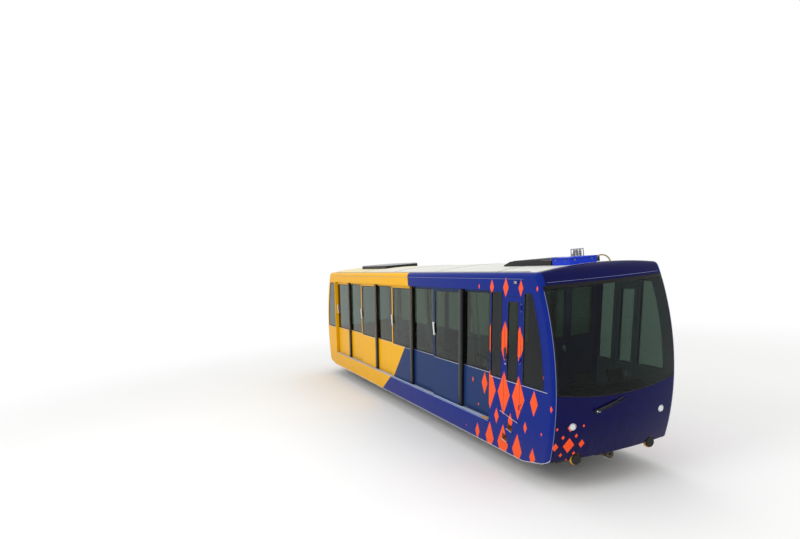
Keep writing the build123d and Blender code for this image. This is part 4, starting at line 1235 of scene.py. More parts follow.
@dataclass
class SlidingDoors(Fitting):
    """Rubber edges, black front stiles, grips and gaskets of the eight sliding leaves and their fixed panels.

    Attributes:
        stile: Width of the black front stile.
        lip: Width of the rubber edge ahead of it.
        reach: From a door post to its leaf's front edge.
        panel: Start and end of a fixed panel's window, from the same post.
        proud: How far gaskets stand out.
        posts: Outer face of the filler at each door post.
        grip: Lowest and highest point of a grip.
        feet: Heights of a grip's feet.
    """
    stile: float = 0.118
    lip: float = 0.022
    reach: float = PITCH / 2 + 0.045
    panel: Pair = (PITCH / 2 - 0.050 + 0.075, PITCH - 0.024 - 0.035)
    proud: float = 0.0035
    posts: tuple[float, ...] = (1.108, 1.076, 1.076, 1.076, 1.066)
    grip: Pair = (2.149, 2.435)
    feet: Pair = (2.174, 2.410)

    def build(self) -> None:
        """Dress every module on both sides."""
        for side in Side:
            for k in range(MODULES):
                self.fit_leaf(side, k)
                self.fit_panel(side, k)
            self.fit_posts(side)

    def fit_posts(self, side: Side) -> None:
        """Rubber fillers that close the slots at the door posts.

        Args:
            side: Side of the car.
        """
        form = Form()
        low, high = LEDGE_Z + 0.012, HEAD_Z + 0.050
        for k, outer in enumerate(self.posts):
            y0, y1 = sorted((side.value * 1.032, side.value * outer))
            x0 = bar_x(k, low, -0.021)
            form.block((x0, y0, low), (x0 + 0.040, y1, high), 0.004, LEAN)
        self.shop.piece(f"{side.word}_post_seals", form, SEAL)

    def fit_leaf(self, side: Side, k: int) -> None:
        """Front stile, rubber lip, gasket and grip of one leaf.

        Args:
            side: Side of the car.
            k: Door module, 0 at the lower end.
        """
        sign, body = side.value, f"{side.word}_leaf_{k + 1}"
        low, high = LEDGE_Z + 0.010, HEAD_Z - 0.014
        y = sign * LEAF_Y
        stile = Form()
        x0 = bar_x(k, low, self.reach - self.stile)
        y0, y1 = sorted((y, y + sign * 0.004))
        stile.block((x0, y0, low), (x0 + self.stile - 0.006, y1, high), 0.0018, LEAN)
        self.shop.piece(f"{body}_stile", stile, FRIT, body=body)
        lip = Form()
        x0 = bar_x(k, low, self.reach - 0.004)
        y0, y1 = sorted((y, y - sign * 0.034))
        lip.block((x0, y0, low), (x0 + self.lip + 0.004, y1, high), 0.006, LEAN, 3)
        self.shop.piece(f"{body}_edge", lip, SEAL, body=body)
        gasket = Form()
        window = leaning(k, 0.068, self.reach - 0.098, HEAD_Z - 0.075)
        gasket.frame(window, y, sign, 0.016, self.proud, 0.02, 0.004)
        self.shop.piece(f"{body}_gasket", gasket, SEAL, body=body)
        grip = Form()
        x0 = bar_x(k, sum(self.grip) / 2, 0.062)
        y0, y1 = sorted((y + sign * 0.037, y + sign * 0.015))
        grip.block((x0 - 0.019, y0, self.grip[0]), (x0 + 0.019, y1, self.grip[1]), 0.008, 0.0, 4)
        for z in self.feet:
            grip.disc((x0, y + sign * 0.003, z), 0.020, 0.006, "Y", 0.002)
        self.shop.piece(f"{body}_grip", grip, WHITE, body=body)
        sill = Form()
        sill_strip(sill, k, 0.052, self.reach - self.stile - 0.004, y, sign)
        self.shop.piece(f"{body}_sill", sill, TRIM, "collector_grey", body)

    def fit_panel(self, side: Side, k: int) -> None:
        """Gasket, dark glass edge that is painted shade, and sill strip of one fixed panel.

        Args:
            side: Side of the car.
            k: Door module, 0 at the lower end.
        """
        sign, name = side.value, f"{side.word}_panel_{k + 1}"
        s0, s1 = self.panel
        low, top = BELT_Z + 0.012, HEAD_Z - 0.060
        y = sign * PANEL_Y
        gasket = Form()
        gasket.frame(leaning(k, s0, s1, top), y, sign, 0.014, self.proud, 0.02, 0.004)
        self.shop.piece(f"{name}_gasket", gasket, SEAL)
        # Dark band beside the leaf's edge: painted shade on the fixed panel's rear stile
        painted_shade_band = Form()
        x0 = bar_x(k, low, s0 + 0.010)
        y0, y1 = sorted((y, y - sign * 0.003))
        painted_shade_band.block((x0, y0, low), (x0 + 0.085, y1, top - 0.012), 0.0, LEAN)
        self.shop.piece(f"{name}_band", painted_shade_band, FRIT)
        sill = Form()
        sill_strip(sill, k, s0 - 0.02, s1 + 0.02, y, sign)
        self.shop.piece(f"{name}_sill", sill, TRIM, "collector_grey")


@dataclass
class SideWindows(Fitting):
    """Gaskets round the small, door, quarter and rear windows.

    Attributes:
        width: Width of a gasket.
        proud: How far it stands out.
        small: Start and end of the small window, from the foremost door post.
        door: The same for the cab door's window, and its top.
        quarter: Start of the quarter window, and its distance inside the nose.
        rear: Start of the rear window from the hindmost door post, and its distance inside the nose.
        rows: Steps up the curved windows.
        fixed_sills: Door post, start and end of each bright strip on the body.
        door_sill: The same on the cab door.
    """
    width: float = 0.018
    proud: float = 0.004
    small: Pair = (0.060, 0.425)
    door: Point = (0.611, 0.941, 3.032)
    quarter: Pair = (1.097, -0.260)
    rear: Pair = (-0.095, -0.190)
    rows: int = 16
    fixed_sills: tuple[tuple[int, float, float], ...] = ((4, 0.045, 0.440), (4, 1.082, 1.800),
                                                         (0, -0.860, -0.080))
    door_sill: tuple[int, float, float] = (4, 0.596, 0.956)

    def build(self) -> None:
        """Fit the gaskets on both sides."""
        for side in Side:
            sign = side.value
            y = sign * HALF_WIDTH
            self.gasket(f"{side.word}_small_window", leaning(MODULES, *self.small, LIGHT_Z), y, sign, "car")
            self.gasket(f"{side.word}_cab_door_window", leaning(MODULES, *self.door), y, sign,
                        f"{side.word}_cab_leaf")
            self.gasket(f"{side.word}_quarter_window", self.curved(FRONT, MODULES, *self.quarter), y, sign,
                        "car")
            self.gasket(f"{side.word}_rear_window", self.curved(REAR, 0, *self.rear), y, sign, "car")
            self.sills(side, y, sign)

    def curved(self, nose: Nose, k: int, start: float, inside: float) -> list[Pair]:
        """Outline of a window that follows a nose.

        Args:
            nose: The nose that its far edge follows.
            k: Door post that start is measured from.
            start: Place of its straight edge.
            inside: Distance of its far edge inside the nose, as a negative number.

        Returns:
            Its points.
        """
        outline = [(bar_x(k, LIGHT_Z, start), LIGHT_Z), (bar_x(k, BELT_Z, start), BELT_Z)]
        for i in range(self.rows + 1):
            z = BELT_Z + (LIGHT_Z - BELT_Z) * i / self.rows
            outline.append((nose.point(HALF_WIDTH, z, inside).x, z))
        return outline

    def sills(self, side: Side, y: float, sign: int) -> None:
        """Bright strips under the windows.

        Args:
            side: Side of the car.
            y: Plane that it lies on.
            sign: Outward direction, -1 or 1.
        """
        fixed, door = Form(), Form()
        for row in self.fixed_sills:
            sill_strip(fixed, *row, y, sign)
        sill_strip(door, *self.door_sill, y, sign)
        self.shop.piece(f"{side.word}_side_sills", fixed, TRIM, "collector_grey")
        self.shop.piece(f"{side.word}_cab_door_sill", door, TRIM, "collector_grey", f"{side.word}_cab_leaf")

    def gasket(self, name: str, corners: list[Pair], y: float, sign: int, body: str) -> None:
        """One gasket.

        Args:
            name: Front of the piece's name.
            corners: Corners of the window, as X and Z.
            y: Plane that it lies on.
            sign: Outward direction, -1 or 1.
            body: CAD body that it rides on.
        """
        form = Form()
        form.frame(corners, y, sign, self.width, self.proud, 0.03, 0.006)
        self.shop.piece(f"{name}_gasket", form, SEAL, body=body)


@dataclass
class NoseTrim(Fitting):
    """Seals, dark glass edges and silver lines on one end.

    Attributes:
        skin: Finds the CAD surface.
        nose: Shape of the end.
        name: Word for the end.
        low: Height of the mask's lower edge.
        top: Height at which the corner lines end.
        steps: Steps along a line.
        foot: Height of the black edge over the windscreen's sill, and its width at the corners.
        head: Height of the black edge under the windscreen's top.
    """
    skin: Skin
    nose: Nose
    name: str
    low: float = 0.542
    top: float = 3.30
    steps: int = 40
    foot: float = 0.024
    head: float = 0.050

    def build(self) -> None:
        """Fit every strip."""
        self.corner_lines()
        self.joints()
        self.glass_edge()

    def corner_lines(self) -> None:
        """Light line between corner post and front."""
        for side in Side:
            form = Form()
            rows = [self.low + 0.02 + (self.top - self.low - 0.02) * i / 30 for i in range(31)]
            form.tube([self.skin.end(self.nose.way, side.value * (SEAM_Y - 0.004), z) for z in rows], 0.0042)
            finish = LILAC if self.nose.way > 0 else TRIM
            self.shop.piece(f"{self.name}_{side.word}_corner_line", form, finish, "collector_grey")

    def joints(self) -> None:
        """Rubber joints below and above the windscreen."""
        across = [(2 * i / self.steps - 1) * (SEAM_Y - 0.010) for i in range(self.steps + 1)]
        for label, height in (("sill", None), ("head", SCREEN_Z)):
            form = Form()
            path = []
            for y in across:
                z = sill_z(y) if height is None else height
                place = self.skin.end(self.nose.way, y, z + (0.012 if height is None else -0.012))
                path.append((place.x, y, z))
            form.tube(path, 0.0055)
            self.shop.piece(f"{self.name}_{label}_joint", form, SEAL)

    def glass_edge(self) -> None:
        """Black printed edge round the windscreen."""
        side = SEAM_Y - 0.004
        form = Form()
        for y0, y1, low, high, steps in (
                (-side, side, self.over_sill(0.010), self.over_sill(self.foot), (60, 2)),
                (-side, side, self.under_top(self.head), self.under_top(0.006), (60, 3)),
                (self.foot - side, -side, self.over_sill(self.foot), self.under_top(self.head), (3, 60)),
                (side - self.foot, side, self.over_sill(self.foot), self.under_top(self.head), (3, 60))):
            form.patch(self.sheet(y0, y1, low, high), steps, 0.001)
        self.shop.piece(f"{self.name}_glass_edge", form, FRIT)

    @staticmethod
    def over_sill(rise: float) -> Callable[[float], float]:
        """Height over the windscreen's sill, for any y."""
        return lambda y: sill_z(y) + rise

    @staticmethod
    def under_top(drop: float) -> Callable[[float], float]:
        """Height under the windscreen's top, for any y."""
        return lambda y: SCREEN_Z - drop

    def sheet(self, y0: float, y1: float, low: Callable[[float], float],
              high: Callable[[float], float]) -> Callable[[float, float], Vector]:
        """Surface just outside the windscreen, for u and v from 0 to 1.

        Args:
            y0: Y at u 0.
            y1: Y at u 1.
            low: Height at v 0, for any y.
            high: Height at v 1, for any y.

        Returns:
            The function that gives its points.
        """
        def at(u: float, v: float) -> Vector:
            """Point at u and v.

            Args:
                u: Place across, from 0 to 1.
                v: Place upwards, from 0 to 1.

            Returns:
                The point.
            """
            y = y0 + (y1 - y0) * u
            place = self.skin.end(self.nose.way, y, low(y) + (high(y) - low(y)) * v)
            return place + Vector((self.nose.way * 0.0012, 0.0, 0.0))
        return at


@dataclass
class SideTrim(Fitting):
    """Long strips of both sides, and the small camera over the near cab door.

    Attributes:
        skin: Finds the CAD surface.
        foot: Points of the foot line, as X and Z.
        plate_x: Ends of the tread plate, painted light blue as a painted reflection.
        end_x: Ends of its yellow end.
        edge_x: Ends of the light strip on the ledge's edge, a painted highlight.
        gutter_y: Distance of the gutter from the car's middle.
        line_z: Height of the light line on the cantrail, a trim line partly standing for a painted highlight.
        camera: X and Z of the camera over the cab door.
    """
    skin: Skin
    foot: Pairs = ((-6.655, 0.560), (-6.600, 0.480), (-6.510, 0.434), (-6.03, FOOT_Z),
                   (5.68, FOOT_Z), (6.25, 0.477), (6.33, 0.508), (6.375, 0.532))
    plate_x: Pair = (-5.60, 4.27)
    end_x: Pair = (4.275, 4.500)
    edge_x: Pair = (-5.62, 4.56)
    gutter_y: float = 1.088
    line_z: float = 3.405
    camera: Pair = (5.900, 3.352)

    def build(self) -> None:
        """Lay the strips."""
        for side in Side:
            sign = side.value
            self.foot_line(side, sign)
            self.ledge(side, sign)
            self.gutter(side, sign)
        self.mirror_camera()

    def foot_line(self, side: Side, sign: int) -> None:
        """Silver line along the side's lower edge and round its upswept corners.

        Args:
            side: Side of the car.
            sign: Outward direction, -1 or 1.
        """
        path = [self.skin.side(sign, x, z + 0.012) - Vector((0.0, 0.0, 0.005)) for x, z in self.foot]
        path.append(self.skin.side(sign, 6.395, 0.556))
        path.append(self.skin.end(1, sign * (SEAM_Y - 0.003), 0.574))
        form = Form()
        form.tube(path, 0.006)
        self.shop.piece(f"{side.word}_foot_line", form, TRIM, "collector_grey")

    def ledge(self, side: Side, sign: int) -> None:
        """Tread plate on the ledge below the doors, painted light blue as a painted reflection, with a
        painted highlight strip on the ledge's edge.

        Args:
            side: Side of the car.
            sign: Outward direction, -1 or 1.
        """
        form = Form()
        # Tread plate in light blue: a painted reflection
        low, high = LEDGE_Z + 0.013, LEDGE_Z + 0.0175
        y0, y1 = sorted((sign * 1.183, sign * 1.132))
        form.block((self.plate_x[0], y0, low), (self.plate_x[1], y1, high), 0.0015)
        # Light strip along the ledge's outer edge: a painted highlight
        edge = sorted((sign * 1.1985, sign * 1.186))
        form.block((self.edge_x[0], edge[0], LEDGE_Z - 0.001), (self.edge_x[1], edge[1], LEDGE_Z + 0.004),
                   0.0015)
        self.shop.piece(f"{side.word}_ledge_plate", form, TREAD_REFLECTION_PAINT, "collector_grey")
        end = Form()
        end.block((self.end_x[0], y0, low), (self.end_x[1], y1, high), 0.0015)
        self.shop.piece(f"{side.word}_ledge_end", end, YELLOW, "body_yellow")

    def gutter(self, side: Side, sign: int) -> None:
        """Dark rain gutter between roof and cantrail, and the fine light line below it, partly painted
        highlight.

        Args:
            side: Side of the car.
            sign: Outward direction, -1 or 1.
        """
        form = Form()
        rows = [-5.40 + 11.55 * i / 12 for i in range(13)]
        form.tube([self.skin.top(x, sign * self.gutter_y) for x in rows], 0.008)
        self.shop.piece(f"{side.word}_gutter", form, DARK)
        # Light line along the cantrail: a trim line that also stands in as a painted highlight of its crease
        line = Form()
        line.tube([self.skin.side(sign, i - 5.90, self.line_z) for i in range(13)], 0.0035)
        self.shop.piece(f"{side.word}_cantrail_line", line, LILAC, "collector_grey")

    def mirror_camera(self) -> None:
        """Small camera housing over the cab door of the near side."""
        x, z = self.camera
        housing, lens = Form(), Form()
        housing.block((x - 0.042, -1.236, z - 0.020), (x + 0.042, -1.206, z + 0.020), 0.008, 0.0, 3)
        housing.block((x - 0.030, -1.209, z - 0.014), (x + 0.030, -1.198, z + 0.014), 0.002)
        lens.turned([(0.0, 0.0), (0.011, -0.002), (0.015, 0.002), (0.017, 0.010), (0.0, 0.010)],
                    (x - 0.020, -1.240, z), "Y")
        self.shop.piece("camera_housing", housing, SILVER, "collector_grey")
        self.shop.piece("camera_lens", lens, DISPLAY)


@dataclass
class CabDoors(Fitting):
    """Seals, hinge caps, handle plates, painted door sill highlights and toe-hold liners beside the cab.

    Attributes:
        hold: Width, height and depth of a toe hold.
        holds: X and Z of each toe hold.
        hinge_z: Heights of the hinges.
        hinge: Place of the hinges from the foremost door post.
        back: Place of the doorway's rear edge from it.
        foot: Height of the doorway's foot at its rear edge.
        head: Height of its head.
        lock_z: Height of the lock.
    """
    hold: Point = (0.146, 0.106, 0.114)
    holds: Pairs = ((5.325, 0.842), (5.135, 0.627))
    hinge_z: Point = (1.272, 2.072, 2.942)
    hinge: float = 1.022
    back: float = 0.520
    foot: float = 1.080
    head: float = 3.117
    lock_z: float = 1.950

    def build(self) -> None:
        """Fit both sides."""
        for side in Side:
            self.seal(side)
            self.hinges(side)
            self.handle(side)
            for number, (x, z) in enumerate(self.holds, 1):
                self.toe_hold(side, number, x, z)

    def seal(self, side: Side) -> None:
        """Rubber bead in the gap round the door, and the bright strip under it, a painted highlight.

        Args:
            side: Side of the car.
        """
        y = side.value * (HALF_WIDTH - 0.004)
        drop = LEAN * 0.510
        rows = ((self.foot, self.back, 0.004), (self.foot - drop, self.hinge, 0.004),
                (self.head, self.hinge, -0.004), (self.head, self.back, -0.004))
        corners = [(bar_x(MODULES, z, s), z + gap) for z, s, gap in rows]
        form = Form()
        form.tube([(x, y, z) for x, z in rounded(corners, 0.012)], 0.0034, closed=True)
        self.shop.piece(f"{side.word}_doorway_seal", form, SEAL)
        # Bright strip along the doorway's foot: a painted highlight of the door's lower edge
        strip = Form()
        strip.tube([(5.055, side.value * 1.2035, 1.083), (5.600, side.value * 1.2035, 0.984)], 0.005)
        self.shop.piece(f"{side.word}_doorway_sill", strip, TRIM, "collector_grey")

    def hinges(self, side: Side) -> None:
        """Caps over the ends of the three hinge pins, and screws in the fixed wings.

        Args:
            side: Side of the car.
        """
        form = Form()
        y = side.value * (HALF_WIDTH + 0.011)
        for z in self.hinge_z:
            x = bar_x(MODULES, z, self.hinge)
            for way in (-1, 1):
                form.disc((x + way * 0.0625 * LEAN, y, z + way * 0.0625), 0.0088, 0.005, "Z", 0.0015, 20)
                screw = (x + 0.030 + way * 0.05 * LEAN, y + side.value * 0.0012, z + way * 0.050)
                form.disc(screw, 0.005, 0.0024, "Y", 0.0006, 12)
        self.shop.piece(f"{side.word}_hinge_caps", form, CHROME, "pole_steel")

    def handle(self, side: Side) -> None:
        """Plate behind the pull, and the lock under it.

        Args:
            side: Side of the car.
        """
        body = f"{side.word}_cab_leaf"
        y = side.value * (HALF_WIDTH + 0.0015)
        x = bar_x(MODULES, 2.132, 0.566)
        plate = Form()
        plate.block((x - 0.026, y - 0.0020, 2.020), (x + 0.026, y + 0.0020, 2.244), 0.0018)
        self.shop.piece(f"{body}_handle_plate", plate, DARK, body=body)
        lock = Form()
        lock.turned([(0.0, 0.008), (0.011, 0.008), (0.014, 0.005), (0.014, -0.002), (0.0, -0.002)],
                    (bar_x(MODULES, self.lock_z, 0.562), side.value * (HALF_WIDTH + 0.002), self.lock_z), "Y")
        for z in (2.054, 2.210):
            lock.disc((x, y + side.value * 0.0265, z), 0.013, 0.012, "Y", 0.003, 20)
        self.shop.piece(f"{body}_lock", lock, CHROME, "pole_steel", body)

    def toe_hold(self, side: Side, number: int, x: float, z: float) -> None:
        """Ochre liner of one toe hold, and the bright strip on its lip, a painted highlight.

        Args:
            side: Side of the car.
            number: Its number in the name.
            x: Place along the car.
            z: Height of its middle.
        """
        width, height, depth = self.hold
        bm = bmesh.new()
        sign = side.value
        middle = Matrix.Translation((x, sign * (HALF_WIDTH - 0.004 - depth / 2), z))
        level = Matrix(((1.0, 0.0, LEAN, 0.0), (0.0, 1.0, 0.0, 0.0), (-LEAN, 0.0, 1.0, 0.0),
                        (0.0, 0.0, 0.0, 1.0)))
        bmesh.ops.create_cube(bm, size=1.0,
                              matrix=middle @ level @ Matrix.Diagonal((width, depth, height, 1.0)))
        front = max(bm.faces, key=lambda f: sign * f.calc_center_median().y)
        bmesh.ops.delete(bm, geom=[front], context="FACES_ONLY")
        bmesh.ops.solidify(bm, geom=bm.faces[:], thickness=0.002)
        form = Form()
        form.join(bm)
        self.shop.piece(f"{side.word}_toe_hold_{number}", form, OCHRE)
        # Bright strip on the toe hold's lip: a painted highlight
        lip = Form()
        half = width / 2 + 0.010
        low = z - height / 2 + 0.002
        lip.tube([(x - half - LEAN * 0.055, sign * 1.214, low + LEAN * half),
                  (x + half - LEAN * 0.055, sign * 1.214, low - LEAN * half)], 0.006)
        self.shop.piece(f"{side.word}_toe_lip_{number}", lip, TRIM, "collector_grey")


@dataclass
class EndFittings(Fitting):
    """Lamp rings, buffer flanges, wiper parts and painted highlight line on the brow of one end.

    Attributes:
        skin: Finds the CAD surface.
        way: 1 at the upper end, -1 at the lower end.
        buffer_x: Outer face of the buffers.
        mount_x: Face that the buffers stand on.
        lamp: Distance of the lamps from the car's middle, and their height.
        buffer: The same for the buffers.
        spindle: Y and Z of the wiper's spindle.
        second: The same for its second arm.
        brow_z: Height of the painted highlight line over the windscreen.
        brow_y: Half its length.
    """
    skin: Skin
    way: int
    buffer_x: float
    mount_x: float
    lamp: Pair = (0.870, 1.110)
    buffer: Pair = (0.738, 0.536)
    spindle: Pair = (-0.490, 1.312)
    second: Pair = (-0.432, 1.296)
    brow_z: float = 3.345
    brow_y: float = 1.085

    def build(self) -> None:
        """Fit everything."""
        word = "front" if self.way > 0 else "rear"
        self.lamps(word)
        self.buffers(word)
        self.wiper(word)
        self.brow(word)

    def lamps(self, word: str) -> None:
        """Bezel ring round each lamp.

        Args:
            word: Word for the end, front or rear.
        """
        form = Form()
        nose = FRONT if self.way > 0 else REAR
        for sign in (-1, 1):
            y, z = sign * self.lamp[0], self.lamp[1]
            beside = [self.skin.end(self.way, y + sign * step, z) for step in (0.070, -0.070)]
            place = beside[0].lerp(beside[1], 0.5)
            out = Vector((self.way, y / nose.plan_r, (z - nose.crest_z) / nose.bulge_r))
            ring = Form()
            ring.turned([(0.0535, 0.004), (0.0560, 0.0075), (0.0590, 0.0065), (0.0620, 0.001),
                         (0.0620, -0.012), (0.0535, -0.012), (0.0535, 0.004)], (0.0, 0.0, 0.0), "Z", 40)
            turn = out.to_track_quat("Z", "Y").to_matrix().to_4x4()
            bmesh.ops.transform(ring.bm, matrix=Matrix.Translation(place) @ turn, verts=ring.bm.verts)
            form.join(ring.bm)
        self.shop.piece(f"{word}_lamp_rings", form, TRIM, "collector_grey")

    def buffers(self, word: str) -> None:
        """Mounting flanges with bolts, and the steel ring behind each rubber pad.

        Args:
            word: Word for the end, front or rear.
        """
        flange, ring = Form(), Form()
        for sign in (-1, 1):
            y, z = sign * self.buffer[0], self.buffer[1]
            x = self.mount_x + self.way * 0.006
            flange.turned([(0.043, -0.006), (0.080, -0.006), (0.080, 0.006), (0.043, 0.006), (0.043, -0.006)],
                          (x, y, z), "X", 32)
            for i in range(4):
                turn = math.pi / 4 + i * math.pi / 2
                at = (x + self.way * 0.010, y + 0.063 * math.cos(turn), z + 0.063 * math.sin(turn))
                flange.bolt(at, "X", 0.008)
            cup = [(0.0835, -0.006), (0.091, -0.010), (0.094, 0.0), (0.094, 0.014), (0.0835, 0.020),
                   (0.0835, -0.006)]
            x = self.buffer_x - self.way * 0.058
            ring.turned([(r, self.way * h) for r, h in cup], (x, y, z), "X", 40)
        self.shop.piece(f"{word}_buffer_flanges", flange, BOLT, "frame_black")
        self.shop.piece(f"{word}_buffer_rings", ring, CUP, "body_yellow")

    def wiper(self, word: str) -> None:
        """Spindle nut, second arm and rubber blade of the wiper.

        Args:
            word: Word for the end, front or rear.
        """
        form, blade = Form(), Form()
        y, z = self.spindle
        form.disc((self.on_skin(y, z, 0.039).x, y, z), 0.012, 0.006, "X", 0.001, 6)
        form.disc(self.on_skin(*self.second, 0.010), 0.012, 0.022, "X", 0.002, 20)
        blade.tube([self.on_skin(*at, 0.018) for at in (self.second, (-0.25, 1.352), (-0.080, 1.405))], 0.005)
        blade.tube([self.on_skin(-0.30 + i * 0.062, 1.318 + i * 0.0205, 0.008) for i in range(7)], 0.0065)
        blade.tube([self.on_skin(-0.115, 1.380, 0.010), self.on_skin(-0.100, 1.425, 0.016)], 0.006)
        self.shop.piece(f"{word}_wiper_nut", form, CHROME, "pole_steel")
        self.shop.piece(f"{word}_wiper_blade", blade, SEAL)

    def on_skin(self, y: float, z: float, out: float) -> Vector:
        """Point a little outside the end."""
        return self.skin.end(self.way, y, z) + Vector((self.way * out, 0.0, 0.0))

    def brow(self, word: str) -> None:
        """Fine light line across the brow, over the windscreen: a painted highlight.

        Args:
            word: Word for the end, front or rear.
        """
        rows = [-self.brow_y + 2 * self.brow_y * i / 30 for i in range(31)]
        form = Form()
        form.tube([self.skin.end(self.way, y, self.brow_z) for y in rows], 0.0028)
        # Light line on the brow: a painted highlight
        self.shop.piece(f"{word}_brow_line", form, LILAC if self.way > 0 else TRIM, "collector_grey")


@dataclass
class RoofFittings(Fitting):
    """Seams, unit covers, louvres, cable box fittings, insulators and contact strip on the roof.

    Attributes:
        skin: Finds the CAD surface.
        seam_y: Half the length of a roof seam.
        covers: Ends of each cover sheet on the lower unit.
        lower_z: Top of the lower unit.
        louvres: Ends of the louvred part of the upper unit.
        upper_z: Foot of the louvres.
        mast_x: Place of the insulators.
        masts: Y of each insulator.
    """
    skin: Skin
    seam_y: float = 1.06
    covers: Pairs = ((-4.29, -3.30), (-3.24, -2.25))
    lower_z: float = 3.668
    louvres: Pair = (4.650, 5.476)
    upper_z: float = 3.652
    mast_x: float = 5.730
    masts: Point = (0.095, 0.157, 0.219)

    def build(self) -> None:
        """Fit everything."""
        self.seams()
        self.lower_unit()
        self.upper_unit()
        self.cable_box()
        self.collector()

    def seams(self) -> None:
        """Joints between roof sheets, across the car at each door post."""
        form = Form()
        for k in range(MODULES + 1):
            x = bar_x(k, CROWN_Z)
            if abs(x - 0.5) < 4.9:
                rows = [-self.seam_y + 2 * self.seam_y * i / 12 for i in range(13)]
                form.tube([self.skin.top(x, y) for y in rows], 0.0032)
        self.shop.piece("roof_seams", form, DARK)

    def lower_unit(self) -> None:
        """Two screwed cover sheets and side vents of the unit at the lower end."""
        cover, screws, vents = Form(), Form(), Form()
        for x0, x1 in self.covers:
            cover.block((x0, -0.455, self.lower_z), (x1, 0.455, self.lower_z + 0.005), 0.002)
            for x in (x0 + 0.03, (x0 + x1) / 2, x1 - 0.03):
                for y in (-0.43, 0.43):
                    screws.disc((x, y, self.lower_z + 0.0065), 0.008, 0.004, "Z", 0.001, 14)
        for sign in (-1, 1):
            for i in range(24):
                x = -4.25 + i * 0.082
                vents.block((x, sign * 0.501 - 0.003, 3.578), (x + 0.058, sign * 0.501 + 0.003, 3.588),
                            0.0015)
        self.shop.piece("lower_unit_covers", cover, SILVER, "collector_grey")
        self.shop.piece("lower_unit_screws", screws, BOLT, "collector_grey")
        self.shop.piece("lower_unit_vents", vents, DARK)

    def upper_unit(self) -> None:
        """Louvres on the unit beside the cable box, clear of the collector's foot."""
        form = Form()
        x0, x1 = self.louvres
        low, high = self.upper_z, self.upper_z + 0.012
        for i in range(13):
            x = x0 + 0.030 + i * 0.060
            form.block((x, -0.44, low), (x + 0.030, 0.44, low + 0.008), 0.003, 0.6)
        for x in (x0, x1 - 0.014):
            form.block((x, -0.462, low), (x + 0.014, 0.462, high), 0.003)
        for sign in (-1, 1):
            form.block((x0, sign * 0.455 - 0.007, low), (x1, sign * 0.455 + 0.007, high), 0.003)
        self.shop.piece("upper_unit_louvres", form, DARK)

    def cable_box(self) -> None:
        """Lid gasket, latches, hinge and cable gland of the blue box."""
        gasket, metal = Form(), Form()
        x0, x1, y0, y1, z = 5.920, 6.380, -0.500, 0.030, 3.664
        gasket.tube([(x0 - 0.001, y0 - 0.001, z), (x1 + 0.001, y0 - 0.001, z), (x1 + 0.001, y1 + 0.001, z),
                     (x0 - 0.001, y1 + 0.001, z)], 0.003, closed=True)
        for x in (6.02, 6.28):
            metal.block((x - 0.009, y0 - 0.007, 3.630), (x + 0.009, y0 + 0.001, 3.662), 0.003)
            metal.disc((x, y0 - 0.008, 3.638), 0.004, 0.004, "Y", 0.001, 16)
        for y in (-0.40, -0.07):
            metal.block((x1 - 0.001, y - 0.009, 3.630), (x1 + 0.007, y + 0.009, 3.662), 0.003)
        metal.turned([(0.013, 0.0), (0.019, 0.0), (0.019, 0.010), (0.016, 0.013), (0.016, 0.024),
                      (0.013, 0.024), (0.013, 0.0)], (6.325, 0.0425, 3.628), "Y", 20)
        self.shop.piece("cable_box_gasket", gasket, SEAL)
        self.shop.piece("cable_box_latches", metal, PIPE, "pole_steel")

    def collector(self) -> None:
        """Sheds of the three insulators, the contact strip and the foot's bolts."""
        sheds, strip, bolts = Form(), Form(), Form()
        x = self.mast_x
        for y in self.masts:
            for i in range(3):
                sheds.turned([(0.0195, -0.004), (0.029, -0.009), (0.030, -0.006), (0.0195, 0.004)],
                             (x, y, 3.686 + i * 0.034), "Z", 28)
        strip.block((x - 0.011, 0.040, 3.8095), (x + 0.011, 0.275, 3.812), 0.001)
        for x in (5.52, 5.74):
            for y in (0.024, 0.291):
                bolts.bolt((x, y, 3.671), "Z", 0.007)
        self.shop.piece("insulator_sheds", sheds, PORCELAIN)
        self.shop.piece("contact_strip", strip, CHROME, "collector_grey")
        self.shop.piece("collector_bolts", bolts, BOLT, "collector_grey")


